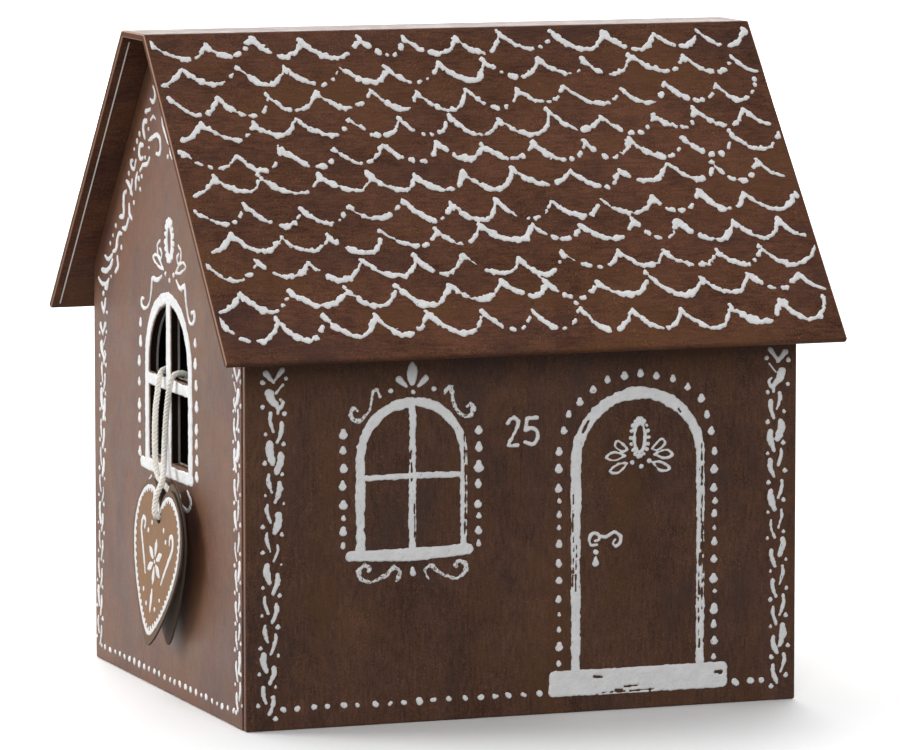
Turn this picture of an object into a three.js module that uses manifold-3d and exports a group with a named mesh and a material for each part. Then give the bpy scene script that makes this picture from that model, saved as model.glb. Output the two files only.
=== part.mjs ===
// A small gingerbread house, made as a toy of stiff board covered in brown paper.
// Its walls and roof carry icing ornament in low relief. Each gable has an arched window cut
// through in four panes, and a cord with two heart tags hangs over the bar of the left one.
//
// Millimetres. +X runs to the right along the front, +Y to the back, +Z up.
// The origin is on the ground, under the middle of the house.
import * as THREE from "three";
import { mergeVertices } from "three/addons/utils/BufferGeometryUtils.js";
import Module from "manifold-3d";

const wasm = await Module();
wasm.setup();

// ---------------------------------------------------------------- driving dimensions

const WIDTH = 240; // front wall, left to right
const DEPTH = 205; // front of the front wall to back of the back wall
const WALL = 3; // wall board
const FIT = 0.3; // gap left where two boards meet

const ROOF_LENGTH = 268.6; // along X, gable overhangs included
const ROOF_BOARD = 2.8;
const RIDGE_WIDTH = 30.4; // the flat strip along the top
const RIDGE_HEIGHT = 276.2;
const EAVE_REACH = 122.2; // from the middle out to the eave's outer edge
const EAVE_HEIGHT = 151.7;

const ICING = 0.6; // how far the icing stands out of the board
const ICING_ROOT = 0.3; // how far it is let into the board
const FRONT_TOP = 147; // highest icing on the front and back walls, just under the eaves

// Arched windows and the door, each in its own wall's coordinates (u to the right, v up)
const FRONT_WINDOW = { centre: -48.6, half: 24, foot: 71, spring: 108.5, upright: 3, bar: [99.4, 102.1] };
const GABLE_WINDOW = { centre: 2.5, half: 32, foot: 95, spring: 136.5, upright: 5, bar: [127.4, 130.6] };
const GABLE_PANES = { centre: 2.5, half: 26, foot: 97.5, spring: 136.5, upright: 7, bar: [127, 133] };
const DOOR = { centre: 49.8, half: 29.3, foot: 16, spring: 103.4, frame: 3.8 };
const FRAME = 4; // width of a window's icing frame
const GABLE_FRAME = 4.6;

// Scallops on the roof
const ROWS = 11;
const ROW_PITCH = 14;
const FIRST_ROW = 4; // ridge edge down to the first row's cusps
const SCALLOP = 21.9; // cusp to cusp
const SCALLOP_DEPTH = 10;
const SCALLOPS = 12; // in a row that starts at the edge

// Braids up the corners and dots along the foot of the walls
const BRAID_PITCH = 12.4;
const FRONT_BRAID = 109.6; // from the wall's middle
const GABLE_BRAID = 92;
const DOT_STEP = 6.7;
const FRONT_DOT_HEIGHT = 8.5;
const GABLE_DOT_HEIGHT = 6.5;

// Cord and tags
const CORD = 2.6; // diameter
const CORD_SIDES = 8;
const CORD_STEPS = 50;
const TAG = 0.9; // board of a tag
const TAG_HOLE = 2.6; // radius
const TAG_PRINT = 0.2; // how far a tag's print stands out of it
const HEART = { wide: 33.6, top: 13.6, lobe: 11.6, notch: 4.8, belly: -9.3, tip: -54.5 }; // about its hole
const FRONT_TAG = { hole: [-127.1, -13.3, 76.2], lean: 4.3, turn: -5.1, yaw: 0.1 }; // back face; degrees
const BACK_TAG = { hole: [-123.5, -11.2, 77], lean: 0, turn: 2.1, yaw: 4.2 };
const KNOT = { at: [-112, -2.5, 129.2], radii: [3.4, 6.6, 3] };

// The cord's route: from the knot inside the house over the bar, down outside and behind both
// tags, out through their holes, and up in front of them, crossing itself, to the bar again
const CORD_ROUTE = [
  [-112.7, 5.4, 132.0],
  [-113.9, 6.4, 134.1],
  [-116.3, 7.0, 135.2],
  [-118.8, 6.4, 135.3],
  [-121.2, 4.2, 134.3],
  [-122.6, 2.8, 131.0],
  [-123.2, 2.7, 126.4],
  [-124.2, 2.4, 119.0],
  [-125.0, 1.1, 110.5],
  [-125.4, -0.2, 102.2],
  [-125.4, -1.2, 96.6],
  [-125.2, -2.8, 92.8],
  [-124.7, -5.4, 90.4],
  [-123.7, -8.4, 88.6],
  [-122.5, -10.2, 86.2],
  [-121.8, -10.7, 82.8],
  [-121.7, -10.9, 79.7],
  [-122.1, -11.1, 77.7],
  [-123.9, -11.3, 77.0],
  [-125.8, -12.3, 76.6],
  [-127.6, -13.3, 76.2],
  [-129.2, -13.4, 76.7],
  [-129.9, -13.5, 78.6],
  [-129.7, -13.5, 81.2],
  [-129.3, -13.6, 84.4],
  [-128.2, -13.8, 87.5],
  [-126.8, -13.3, 90.4],
  [-125.5, -12.0, 93.8],
  [-124.6, -10.0, 97.6],
  [-123.9, -8.3, 102.6],
  [-123.4, -7.9, 110.2],
  [-123.2, -9.2, 118.4],
  [-123.0, -11.4, 126.8],
  [-122.7, -13.0, 131.4],
  [-121.8, -12.9, 134.0],
  [-119.6, -12.0, 135.4],
  [-116.4, -11.2, 135.4],
  [-114.0, -10.6, 134.0],
  [-112.8, -10.2, 132.0],
];

// Worked out from those
const slopeRun = EAVE_REACH - RIDGE_WIDTH / 2;
const slopeRise = RIDGE_HEIGHT - EAVE_HEIGHT;
const slopeLength = Math.hypot(slopeRun, slopeRise);
const slope = Math.atan2(slopeRise, slopeRun);
const wallInside = DEPTH / 2 - WALL;

// ---------------------------------------------------------------- materials

const paper = (color) => new THREE.MeshStandardMaterial({ color, roughness: 0.55, metalness: 0 });
const wallPaper = paper(0x4a3024);
const gablePaper = paper(0x6b4d40);
const roofPaper = paper(0x4e3122);
const kraftPaper = paper(0x8f6b47);
const cotton = new THREE.MeshStandardMaterial({ color: 0xd9cdb8, roughness: 0.9, metalness: 0 });

// ---------------------------------------------------------------- solids

function solid(geometry) {
  const bare = geometry.index ? geometry.toNonIndexed() : geometry.clone();
  bare.deleteAttribute("normal");
  bare.deleteAttribute("uv");
  const merged = mergeVertices(bare, 1e-4);
  const vertProperties = Float32Array.from(merged.attributes.position.array);
  const triVerts = Uint32Array.from(merged.index.array);
  return new wasm.Manifold(new wasm.Mesh({ numProp: 3, vertProperties, triVerts }));
}

function geometryOf(body) {
  const { vertProperties, triVerts } = body.getMesh();
  const geometry = new THREE.BufferGeometry();
  geometry.setAttribute("position", new THREE.BufferAttribute(vertProperties, 3));
  geometry.setIndex(new THREE.BufferAttribute(triVerts, 1));
  return geometry;
}

function joined(bodies) {
  return bodies.reduce((all, body) => all.add(body));
}

function namedMesh(name, body, material, matrix) {
  const mesh = new THREE.Mesh(geometryOf(body), material);
  mesh.name = name;
  mesh.applyMatrix4(matrix);
  return mesh;
}

// ---------------------------------------------------------------- faces of the house

// A face has u to its right, v up and w out of the house
function faceMatrix(origin, right, up) {
  const u = new THREE.Vector3(...right);
  const v = new THREE.Vector3(...up);
  const w = new THREE.Vector3().crossVectors(u, v);
  return new THREE.Matrix4().makeBasis(u, v, w).setPosition(...origin);
}

const ridgeSide = RIDGE_WIDTH / 2;
const cosine = Math.cos(slope);
const sine = Math.sin(slope);
const faces = {
  front: faceMatrix([0, -DEPTH / 2, 0], [1, 0, 0], [0, 0, 1]),
  back: faceMatrix([0, DEPTH / 2, 0], [-1, 0, 0], [0, 0, 1]),
  left: faceMatrix([-WIDTH / 2, 0, 0], [0, -1, 0], [0, 0, 1]),
  right: faceMatrix([WIDTH / 2, 0, 0], [0, 1, 0], [0, 0, 1]),
  frontSlope: faceMatrix([0, -ridgeSide, RIDGE_HEIGHT], [1, 0, 0], [0, cosine, sine]),
  backSlope: faceMatrix([0, ridgeSide, RIDGE_HEIGHT], [-1, 0, 0], [0, -cosine, sine]),
};

// ---------------------------------------------------------------- repeatable chance

function dice(seed) {
  let state = seed;
  return (low, high) => {
    state = (state * 1664525 + 1013904223) % 4294967296;
    return low + ((high - low) * state) / 4294967296;
  };
}

// ---------------------------------------------------------------- icing shapes, in (u, v)

// A stroke along a line, pointed at both ends, with a crest along its middle points and an
// upright root let into the board
function stroke(line, width) {
  const last = line.length - 1;
  const rightSide = [];
  const leftSide = [];
  const crest = [];
  for (let i = 1; i < last; i++) {
    const along = new THREE.Vector2(line[i + 1][0] - line[i - 1][0], line[i + 1][1] - line[i - 1][1]);
    along.normalize().multiplyScalar(width / 2);
    const [u, v] = line[i];
    rightSide.push([u + along.y, v - along.x, 0]);
    leftSide.push([u - along.y, v + along.x, 0]);
    crest.push([u, v, ICING]);
  }
  const tail = [...line[0], 0];
  const tip = [...line[last], 0];
  const outline = [tail, ...rightSide, tip, ...leftSide.reverse()];
  const ridge = [tail, ...crest, tip];
  const triangles = [];
  const corners = outline.length;
  const under = ([u, v]) => [u, v, -ICING_ROOT];
  const quad = (a, b, c, d) => triangles.push(a, b, c, a, c, d);
  for (let i = 0; i < corners; i++) {
    const [here, next] = [outline[i], outline[(i + 1) % corners]];
    quad(under(here), under(next), next, here);
  }
  for (let i = 0; i < last; i++) {
    const [right, rightNext] = [outline[i], outline[i + 1]];
    const [left, leftNext] = [outline[(corners - i) % corners], outline[corners - i - 1]];
    const [low, high] = [ridge[i], ridge[i + 1]];
    if (i > 0) triangles.push(low, right, rightNext, low, leftNext, left);
    if (i < last - 1) triangles.push(low, rightNext, high, low, high, leftNext);
    if (i > 0 && i < last - 1) quad(under(leftNext), under(rightNext), under(right), under(left));
  }
  triangles.push(under(outline[1]), under(tail), under(outline[corners - 1]));
  triangles.push(under(tip), under(outline[last - 1]), under(outline[last + 1]));
  const geometry = new THREE.BufferGeometry();
  geometry.setAttribute("position", new THREE.Float32BufferAttribute(triangles.flat(), 3));
  return solid(geometry);
}

function dot(u, v, radius, sides = 4) {
  const height = ICING + ICING_ROOT;
  const cone = new THREE.ConeGeometry((radius * height) / ICING, height, sides);
  cone.rotateX(Math.PI / 2);
  cone.translate(u, v, height / 2 - ICING_ROOT);
  return solid(cone);
}

// A flat band of icing of any outline
function plate(shape, curveSegments = 6, height = ICING) {
  const depth = height + ICING_ROOT;
  const geometry = new THREE.ExtrudeGeometry(shape, { depth, bevelEnabled: false, curveSegments });
  geometry.translate(0, 0, -ICING_ROOT);
  return solid(geometry);
}

function bar(left, right, low, high, corner) {
  const shape = new THREE.Shape();
  shape.moveTo(left + corner, low).lineTo(right - corner, low).lineTo(right, low + corner);
  shape.lineTo(right, high - corner).lineTo(right - corner, high).lineTo(left + corner, high);
  shape.lineTo(left, high - corner).lineTo(left, low + corner);
  return plate(shape);
}

// ---------------------------------------------------------------- arched openings

const ARCH_STEPS = 5; // for a quarter of the round head

function archShape({ centre, half, foot, spring }) {
  const shape = new THREE.Shape();
  shape.moveTo(centre - half, foot).lineTo(centre + half, foot);
  for (let i = 0; i <= 2 * ARCH_STEPS; i++) {
    const angle = (Math.PI * i) / (2 * ARCH_STEPS);
    shape.lineTo(centre + half * Math.cos(angle), spring + half * Math.sin(angle));
  }
  return shape;
}

// The four panes of an arched opening, parted by an upright and a bar
function panes({ centre, half, foot, spring, upright, bar: [low, high] }) {
  const inner = upright / 2;
  const steepest = Math.acos(inner / half);
  return [-1, 1].flatMap((side) => {
    const lower = new THREE.Shape();
    lower.moveTo(centre + side * inner, foot).lineTo(centre + side * half, foot);
    lower.lineTo(centre + side * half, low).lineTo(centre + side * inner, low);
    const upper = new THREE.Shape();
    upper.moveTo(centre + side * inner, high).lineTo(centre + side * half, high);
    for (let i = 0; i <= ARCH_STEPS; i++) {
      const angle = (steepest * i) / ARCH_STEPS;
      upper.lineTo(centre + side * half * Math.cos(angle), spring + half * Math.sin(angle));
    }
    return [lower, upper];
  });
}

// Cuts holes of the given shapes right through a board or a band of icing
function pierced(body, shapes, curveSegments = 6) {
  const depth = 4 * WALL;
  return shapes.reduce((rest, shape) => {
    const geometry = new THREE.ExtrudeGeometry(shape, { depth, bevelEnabled: false, curveSegments });
    geometry.translate(0, 0, -depth / 2);
    return rest.subtract(solid(geometry));
  }, body);
}

function windowIcing(opening, frame) {
  const { half, foot } = opening;
  return pierced(plate(archShape(opening)), panes({ ...opening, half: half - frame, foot: foot - 1 }));
}

function sill({ centre, half, foot }, overhang, height) {
  const corner = 1.6;
  return bar(centre - half - overhang, centre + half + overhang, foot - height + 1, foot + 1, corner);
}

// ---------------------------------------------------------------- rows, columns and rings of dots

function dotRow(from, to, v, radius, roll) {
  const count = Math.round(Math.abs(to - from) / DOT_STEP);
  const row = [];
  for (let i = 0; i <= count; i++) {
    const u = from + ((to - from) * i) / count + roll(-0.6, 0.6);
    row.push(dot(u, v + roll(-0.4, 0.4), radius * roll(0.75, 1.15)));
  }
  return row;
}

// Two columns of dots beside a window, from its arch down to its sill
function windowDots({ centre, half, foot, spring }, away, radius, roll) {
  const count = 7;
  const top = spring + 11;
  const column = [];
  for (const side of [-1, 1]) {
    for (let i = 0; i <= count; i++) {
      const drop = ((top - foot - 2.5) * i) / count;
      const inward = i === 0 ? 2 : 0;
      const u = centre + side * (half + away - inward) + roll(-0.4, 0.4);
      column.push(dot(u, top - drop, radius * roll(0.75, 1.1)));
    }
  }
  return column;
}

// Dots up one side of the door, over its arch and down the other
function doorDots({ centre, half, foot, spring }, away, radius, roll) {
  const reach = half + away;
  const side = spring - foot - 4;
  const whole = 2 * side + Math.PI * reach;
  const count = Math.round(whole / DOT_STEP);
  const ring = [];
  for (let i = 0; i <= count; i++) {
    const walked = (whole * i) / count;
    const overArch = Math.min(Math.max((walked - side) / reach, 0), Math.PI);
    const straight = walked < side ? walked - side : side + Math.PI * reach - walked;
    const u = centre - reach * Math.cos(overArch);
    const v = spring + reach * Math.sin(overArch) + Math.min(straight, 0);
    ring.push(dot(u + roll(-0.3, 0.3), v, radius * roll(0.75, 1.15)));
  }
  return ring;
}

// ---------------------------------------------------------------- braids, scrolls and sprays

// A plait of short strokes up a corner, its axis running from (footU, footV) to (topU, topV)
function braid([footU, footV], [topU, topV], side, roll) {
  const count = Math.floor((topV - footV) / BRAID_PITCH);
  const strokes = [];
  for (let i = 0; i < count; i++) {
    for (const half of [0, 1]) {
      const v = footV + (i + half * 0.45 + 0.4) * BRAID_PITCH;
      const u = footU + ((topU - footU) * (v - footV)) / (topV - footV);
      const lean = (half ? -1 : 1) * side;
      const line = [[u + lean * 1.1, v + 5], [u + lean * 2, v + 0.6], [u - lean * 0.4, v - 4.8]];
      strokes.push(stroke(line, roll(1.7, 2.7)));
    }
  }
  return strokes;
}

// A long S with a curl at each end, drawn from its outer curl (u, v) towards (u + reachU, v + reachV)
function scroll(u, v, reachU, reachV, curl, width) {
  const line = [
    [u + reachU * 0.12, v + curl * 0.9],
    [u, v + curl * 0.3],
    [u + reachU * 0.18, v - curl * 0.35],
    [u + reachU * 0.5, v + reachV * 0.4],
    [u + reachU * 0.74, v + reachV],
    [u + reachU * 0.96, v + reachV * 0.94],
    [u + reachU, v + reachV - curl * 0.7],
  ];
  return stroke(line, width);
}

function leaf(u, v, length, angle, width) {
  const radians = THREE.MathUtils.degToRad(angle);
  const at = (share) => [u + share * length * Math.cos(radians), v + share * length * Math.sin(radians)];
  return stroke([at(0), at(0.65), at(1)], width);
}

// The spray of leaves round a beaded oval, on the door and over the gable windows
function spray(u, v, size) {
  const pieces = [];
  for (const side of [-1, 1]) {
    const oval = [];
    for (let i = 0; i <= 4; i++) {
      const angle = (Math.PI * i) / 4;
      oval.push([u + side * 0.2 * size * Math.sin(angle), v + size * (0.52 - 0.5 * Math.cos(angle))]);
    }
    pieces.push(stroke(oval, 0.17 * size));
    for (const [angle, out, length] of [[52, 0.42, 0.36], [15, 0.5, 0.48], [-35, 0.46, 0.36]]) {
      const direction = side > 0 ? angle : 180 - angle;
      pieces.push(leaf(u + side * out * size, v + 0.12 * size, length * size, direction, 0.13 * size));
    }
  }
  pieces.push(dot(u, v - 0.14 * size, 0.08 * size));
  return pieces;
}

// Ornament over and under the front windows: three drops, two scrolls and a pair of scrolls below
function windowOrnament({ centre, half, foot, spring }) {
  const top = spring + half;
  const pieces = [
    leaf(centre, top + 6, 9.4, 90, 4.4),
    leaf(centre - 2.6, top + 4, 5.4, 128, 2.8),
    leaf(centre + 2.6, top + 4, 5.4, 52, 2.8),
    dot(centre, top + 2.8, 1.1),
    dot(centre - 9, top + 3.8, 1.1),
    dot(centre + 9, top + 3.8, 1.1),
  ];
  for (const side of [-1, 1]) {
    const outer = centre + side * (half + 1.8);
    pieces.push(scroll(outer, top - 8.5, -side * 13.5, 12, 3.4, 1.5));
    pieces.push(scroll(centre + side * (half - 0.4), foot - 10.2, -side * 18, 4, 3.6, 2));
  }
  pieces.push(dot(centre, foot - 8.8, 1.4));
  return pieces;
}

function gableOrnament({ centre, half, foot, spring }) {
  const top = spring + half;
  const pieces = spray(centre + 1.5, top + 12, 20);
  for (const side of [-1, 1]) {
    pieces.push(scroll(centre + side * (half + 2), top - 8, -side * 27, 13, 3.6, 1.5));
    pieces.push(scroll(centre + side * (half - 2.8), foot - 11, -side * 19, 3.5, 4, 2));
  }
  return pieces;
}

// Comma strokes along a gable's edge under the roof, from the eave corner to the apex
function slopeBorder(side, roll) {
  const start = [88, 160];
  const pitch = 11.5;
  const strokes = [];
  for (let i = 0; i < 10; i++) {
    const walked = (i + 0.5) * pitch;
    const u = start[0] - walked * cosine;
    const v = start[1] + walked * sine;
    const across = i % 2 ? 3.6 : -3.6;
    const bend = Math.sign(across) * 1.8;
    const at = (along, out) => [
      side * (u - along * cosine - (across + out) * sine),
      v + along * sine - (across + out) * cosine,
    ];
    strokes.push(stroke([at(-6.4, -bend), at(-2, bend), at(2.4, bend), at(6.2, -bend)], roll(1.7, 2.5)));
  }
  return strokes;
}

// ---------------------------------------------------------------- numbers and the door's handle

function houseNumber() {
  const two = [[-8.4, 119.6], [-7.2, 123], [-3.2, 122.6], [-3.6, 117.6], [-8, 111.6]];
  const foot = [[-8.6, 111.5], [-5.2, 111.9], [-2, 111.2]];
  const flag = [[0.2, 122.8], [2.8, 123], [5.4, 122.4]];
  const five = [[0.4, 123.4], [0.6, 118.2], [5, 117.4], [4.6, 112.2], [0, 111.8]];
  return [two, foot, flag, five].map((line) => stroke(line, 1.5));
}

function doorHandle() {
  const rose = [[32.5, 74.6], [29, 73.8], [28.6, 70.4], [31, 68.6], [33, 70.8]];
  const lever = [[32, 72.4], [35, 71.4], [38.6, 73.4], [41.4, 70.8], [39, 67.8]];
  return [stroke(rose, 1.5), stroke(lever, 1.6), dot(31.2, 66.2, 1.1), leaf(31.2, 65.6, 3.6, -90, 1.8)];
}

// ---------------------------------------------------------------- roof scallops

// Cusps of one row, from the left edge to the right
function cusps(row, roll) {
  const inset = row % 2 ? SCALLOP / 2 : 0;
  const count = row % 2 ? SCALLOPS : SCALLOPS + 1;
  const points = [];
  for (let i = 0; i < count; i++) {
    const u = -(SCALLOPS * SCALLOP) / 2 + inset + i * SCALLOP + roll(-1.7, 1.7);
    points.push([u, -(FIRST_ROW + row * ROW_PITCH) + roll(-1.6, 1.6)]);
  }
  return points;
}

// The sagging line between two cusps, over the given share of it
function sag([u0, v0], [u1, v1], from, to, depth) {
  const points = [];
  for (let i = 0; i < 4; i++) {
    const share = from + ((to - from) * i) / 3;
    const drop = depth * (1 - Math.abs(2 * share - 1) ** 2.2);
    points.push([u0 + (u1 - u0) * share, v0 + (v1 - v0) * share - drop]);
  }
  return points;
}

function scallops(seed) {
  const roll = dice(seed);
  const strokes = [];
  for (let row = 0; row < ROWS; row++) {
    const points = cusps(row, roll);
    if (row % 2) {
      const [firstU, firstV] = points[0];
      const [lastU, lastV] = points[points.length - 1];
      points.unshift([firstU - SCALLOP, firstV]);
      points.push([lastU + SCALLOP, lastV]);
    }
    for (let i = 0; i + 1 < points.length; i++) {
      const cutLeft = row % 2 && i === 0;
      const cutRight = row % 2 && i + 2 === points.length;
      const depth = SCALLOP_DEPTH + roll(-1, 1);
      const width = roll(1.9, 2.7);
      const line = sag(points[i], points[i + 1], cutLeft ? 0.52 : 0.05, cutRight ? 0.48 : 0.95, depth);
      strokes.push(stroke(line, width));
    }
  }
  return strokes;
}

// ---------------------------------------------------------------- boards

function slab(shape, thickness, curveSegments = 6) {
  const geometry = new THREE.ExtrudeGeometry(shape, { depth: thickness, bevelEnabled: false, curveSegments });
  geometry.translate(0, 0, -thickness);
  return geometry;
}

function rectangle(left, right, low, high) {
  const shape = new THREE.Shape();
  shape.moveTo(left, low).lineTo(right, low).lineTo(right, high).lineTo(left, high);
  return shape;
}

// Everything under the roof boards, as seen from one face: walls are trimmed to it
function underRoof(face) {
  const sink = ROOF_BOARD + FIT;
  const ceiling = RIDGE_HEIGHT - sink;
  const shoulder = ridgeSide - (sink * (1 - cosine)) / sine;
  const reach = DEPTH;
  const profile = new THREE.Shape();
  profile.moveTo(-reach, -1).lineTo(reach, -1);
  profile.lineTo(reach, ceiling - (reach - shoulder) * Math.tan(slope));
  profile.lineTo(shoulder, ceiling).lineTo(-shoulder, ceiling);
  profile.lineTo(-reach, ceiling - (reach - shoulder) * Math.tan(slope));
  const geometry = new THREE.ExtrudeGeometry(profile, { depth: 2 * WIDTH, bevelEnabled: false });
  geometry.translate(0, 0, -WIDTH);
  const upright = new THREE.Matrix4().makeBasis(
    new THREE.Vector3(0, 1, 0),
    new THREE.Vector3(0, 0, 1),
    new THREE.Vector3(1, 0, 0),
  );
  geometry.applyMatrix4(upright).applyMatrix4(faces[face].clone().invert());
  return solid(geometry);
}

const WALL_BLANK = 300; // tall enough to be trimmed by the roof

function wall(face, left, right) {
  return solid(slab(rectangle(left, right, 0, WALL_BLANK), WALL)).intersect(underRoof(face));
}

function frontWall() {
  const roll = dice(25);
  const right = DOOR.centre + DOOR.half + 10.4;
  const left = DOOR.centre - DOOR.half - 10;
  const doorway = archShape({ ...DOOR, half: DOOR.half - DOOR.frame, foot: DOOR.foot - 1 });
  return joined([
    wall("front", -WIDTH / 2, WIDTH / 2),
    windowIcing(FRONT_WINDOW, FRAME),
    sill(FRONT_WINDOW, 3.6, 5),
    pierced(plate(archShape(DOOR)), [doorway]),
    bar(left, right, 6.4, 17.4, 2),
    ...houseNumber(),
    ...doorHandle(),
    ...spray(DOOR.centre + 0.4, 104, 16),
    ...windowOrnament(FRONT_WINDOW),
    ...windowDots(FRONT_WINDOW, 5, 1.6, roll),
    ...doorDots(DOOR, 5.4, 1.6, roll),
    ...braid([-FRONT_BRAID, 7], [-FRONT_BRAID, FRONT_TOP], 1, roll),
    ...braid([FRONT_BRAID + 2, 6], [FRONT_BRAID + 2, FRONT_TOP], -1, roll),
    ...dotRow(-104.5, 6.5, FRONT_DOT_HEIGHT, 1.6, roll),
    ...dotRow(93.5, 105.5, FRONT_DOT_HEIGHT, 1.5, roll),
  ]);
}

function backWall() {
  const roll = dice(52);
  const inner = WIDTH / 2 - WALL - FIT;
  const pieces = [wall("back", -inner, inner)];
  for (const centre of [-48.6, 48.6]) {
    const opening = { ...FRONT_WINDOW, centre };
    pieces.push(windowIcing(opening, FRAME), sill(opening, 3.6, 5), ...windowOrnament(opening));
    pieces.push(...windowDots(opening, 5, 1.6, roll));
  }
  pieces.push(...braid([-FRONT_BRAID, 7], [-FRONT_BRAID, FRONT_TOP], 1, roll));
  pieces.push(...braid([FRONT_BRAID, 7], [FRONT_BRAID, FRONT_TOP], -1, roll));
  pieces.push(...dotRow(-104.5, 104.5, FRONT_DOT_HEIGHT, 1.6, roll));
  return joined(pieces);
}

// A gable runs from behind the front wall to the back face; side is 1 where the front is on its right
function gable(face, side) {
  const roll = dice(face.length * 31);
  const front = side * (wallInside - FIT);
  const back = -side * (DEPTH / 2);
  const blank = rectangle(Math.min(front, back), Math.max(front, back), 0, WALL_BLANK);
  const opening = { ...GABLE_WINDOW, centre: side * GABLE_WINDOW.centre };
  const board = solid(slab(blank, WALL)).intersect(underRoof(face));
  return joined([
    pierced(board, panes({ ...GABLE_PANES, centre: opening.centre })),
    windowIcing(opening, GABLE_FRAME),
    sill(opening, 4, 5.2),
    ...gableOrnament(opening),
    ...windowDots(opening, 6.6, 1.6, roll),
    ...braid([-GABLE_BRAID - 2, 8], [-GABLE_BRAID + 2, 158], 1, roll),
    ...braid([GABLE_BRAID, 8], [GABLE_BRAID, 158], -1, roll),
    ...dotRow(-89, 86, GABLE_DOT_HEIGHT, 1.5, roll),
    ...slopeBorder(1, roll),
    ...slopeBorder(-1, roll),
  ]);
}

// The paper-covered board of one roof slope, mitred where it meets the ridge strip
function slopeBoard(seed) {
  const mitre = ROOF_BOARD * Math.tan(slope / 2);
  const profile = new THREE.Shape();
  profile.moveTo(-FIT / 2, 0).lineTo(-slopeLength, 0).lineTo(-slopeLength, -ROOF_BOARD);
  profile.lineTo(-mitre - FIT / 2, -ROOF_BOARD);
  const geometry = new THREE.ExtrudeGeometry(profile, { depth: ROOF_LENGTH, bevelEnabled: false });
  geometry.translate(0, 0, -ROOF_LENGTH / 2);
  const lying = new THREE.Matrix4().makeBasis(
    new THREE.Vector3(0, 1, 0),
    new THREE.Vector3(0, 0, 1),
    new THREE.Vector3(1, 0, 0),
  );
  return joined([solid(geometry.applyMatrix4(lying)), ...scallops(seed)]);
}

function ridgeStrip() {
  const mitre = ROOF_BOARD * Math.tan(slope / 2);
  const top = ridgeSide - FIT / 2;
  const profile = new THREE.Shape();
  profile.moveTo(-top + mitre, RIDGE_HEIGHT - ROOF_BOARD).lineTo(top - mitre, RIDGE_HEIGHT - ROOF_BOARD);
  profile.lineTo(top, RIDGE_HEIGHT).lineTo(-top, RIDGE_HEIGHT);
  const geometry = new THREE.ExtrudeGeometry(profile, { depth: ROOF_LENGTH, bevelEnabled: false });
  geometry.translate(0, 0, -ROOF_LENGTH / 2);
  const along = new THREE.Matrix4().makeBasis(
    new THREE.Vector3(0, 1, 0),
    new THREE.Vector3(0, 0, 1),
    new THREE.Vector3(1, 0, 0),
  );
  return solid(geometry.applyMatrix4(along));
}

function base() {
  const halfWidth = WIDTH / 2 - WALL - FIT;
  const halfDepth = wallInside - FIT;
  const geometry = new THREE.BoxGeometry(2 * halfWidth, 2 * halfDepth, WALL);
  geometry.translate(0, 0, WALL / 2);
  return solid(geometry);
}

// ---------------------------------------------------------------- cord and tags

function cord() {
  const route = new THREE.CatmullRomCurve3(CORD_ROUTE.map((point) => new THREE.Vector3(...point)));
  const section = new THREE.Shape();
  for (let i = 0; i < CORD_SIDES; i++) {
    const angle = (2 * Math.PI * i) / CORD_SIDES;
    const method = i ? "lineTo" : "moveTo";
    section[method]((CORD / 2) * Math.cos(angle), (CORD / 2) * Math.sin(angle));
  }
  return solid(new THREE.ExtrudeGeometry(section, { steps: CORD_STEPS, extrudePath: route }));
}

function knot() {
  const ball = new THREE.SphereGeometry(1, 8, 6);
  ball.scale(...KNOT.radii);
  ball.translate(...KNOT.at);
  return solid(ball);
}

// A heart round the tag's hole; inset moves its outline in from the edge
function heart(inset = 0) {
  const { lobe, belly } = HEART;
  const wide = HEART.wide - inset;
  const top = HEART.top - inset;
  const notch = HEART.notch - 0.9 * inset;
  const tip = HEART.tip + 1.5 * inset;
  const shape = new THREE.Shape();
  shape.moveTo(0, notch);
  shape.bezierCurveTo(3, notch + 4.5, 8, top, lobe, top);
  shape.bezierCurveTo(lobe + 10, top, wide, belly + 12, wide, belly);
  shape.bezierCurveTo(wide, belly - 16, 7, tip, 0, tip);
  shape.bezierCurveTo(-7, tip, -wide, belly - 16, -wide, belly);
  shape.bezierCurveTo(-wide, belly + 12, -lobe - 10, top, -lobe, top);
  shape.bezierCurveTo(-8, top, -3, notch + 4.5, 0, notch);
  return shape;
}

function tagPrint() {
  const pieces = [pierced(plate(heart(2.6), 3, TAG_PRINT), [heart(4.8)], 3)];
  const middle = new THREE.Shape();
  const flower = new THREE.Vector2(0, -19);
  const petals = 12;
  for (let i = 0; i < petals; i++) {
    const angle = (2 * Math.PI * i) / petals;
    const reach = i % 2 ? 3.5 : 9;
    middle[i ? "lineTo" : "moveTo"](flower.x + reach * Math.cos(angle), flower.y + reach * Math.sin(angle));
  }
  pieces.push(plate(middle, 1, TAG_PRINT));
  return pieces;
}

function tag(printed) {
  const hole = new THREE.Shape();
  hole.absarc(0, 0, TAG_HOLE, 0, 2 * Math.PI);
  const pieces = [solid(slab(heart(), TAG, 3)), ...(printed ? tagPrint() : [])];
  return pierced(joined(pieces), [hole]);
}

// A tag turns about its hole: in its own plane, out at the tip, and out at its right side
function tagMatrix({ hole, lean, turn, yaw }) {
  const hang = new THREE.Matrix4().makeTranslation(...hole);
  const swing = new THREE.Matrix4().makeRotationZ(THREE.MathUtils.degToRad(-yaw));
  const tilt = new THREE.Matrix4().makeRotationY(THREE.MathUtils.degToRad(lean));
  const spin = new THREE.Matrix4().makeRotationX(THREE.MathUtils.degToRad(-turn));
  const facing = faceMatrix([-TAG, 0, 0], [0, -1, 0], [0, 0, 1]);
  return hang.multiply(swing).multiply(tilt).multiply(spin).multiply(facing);
}

// ---------------------------------------------------------------- the house

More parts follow.
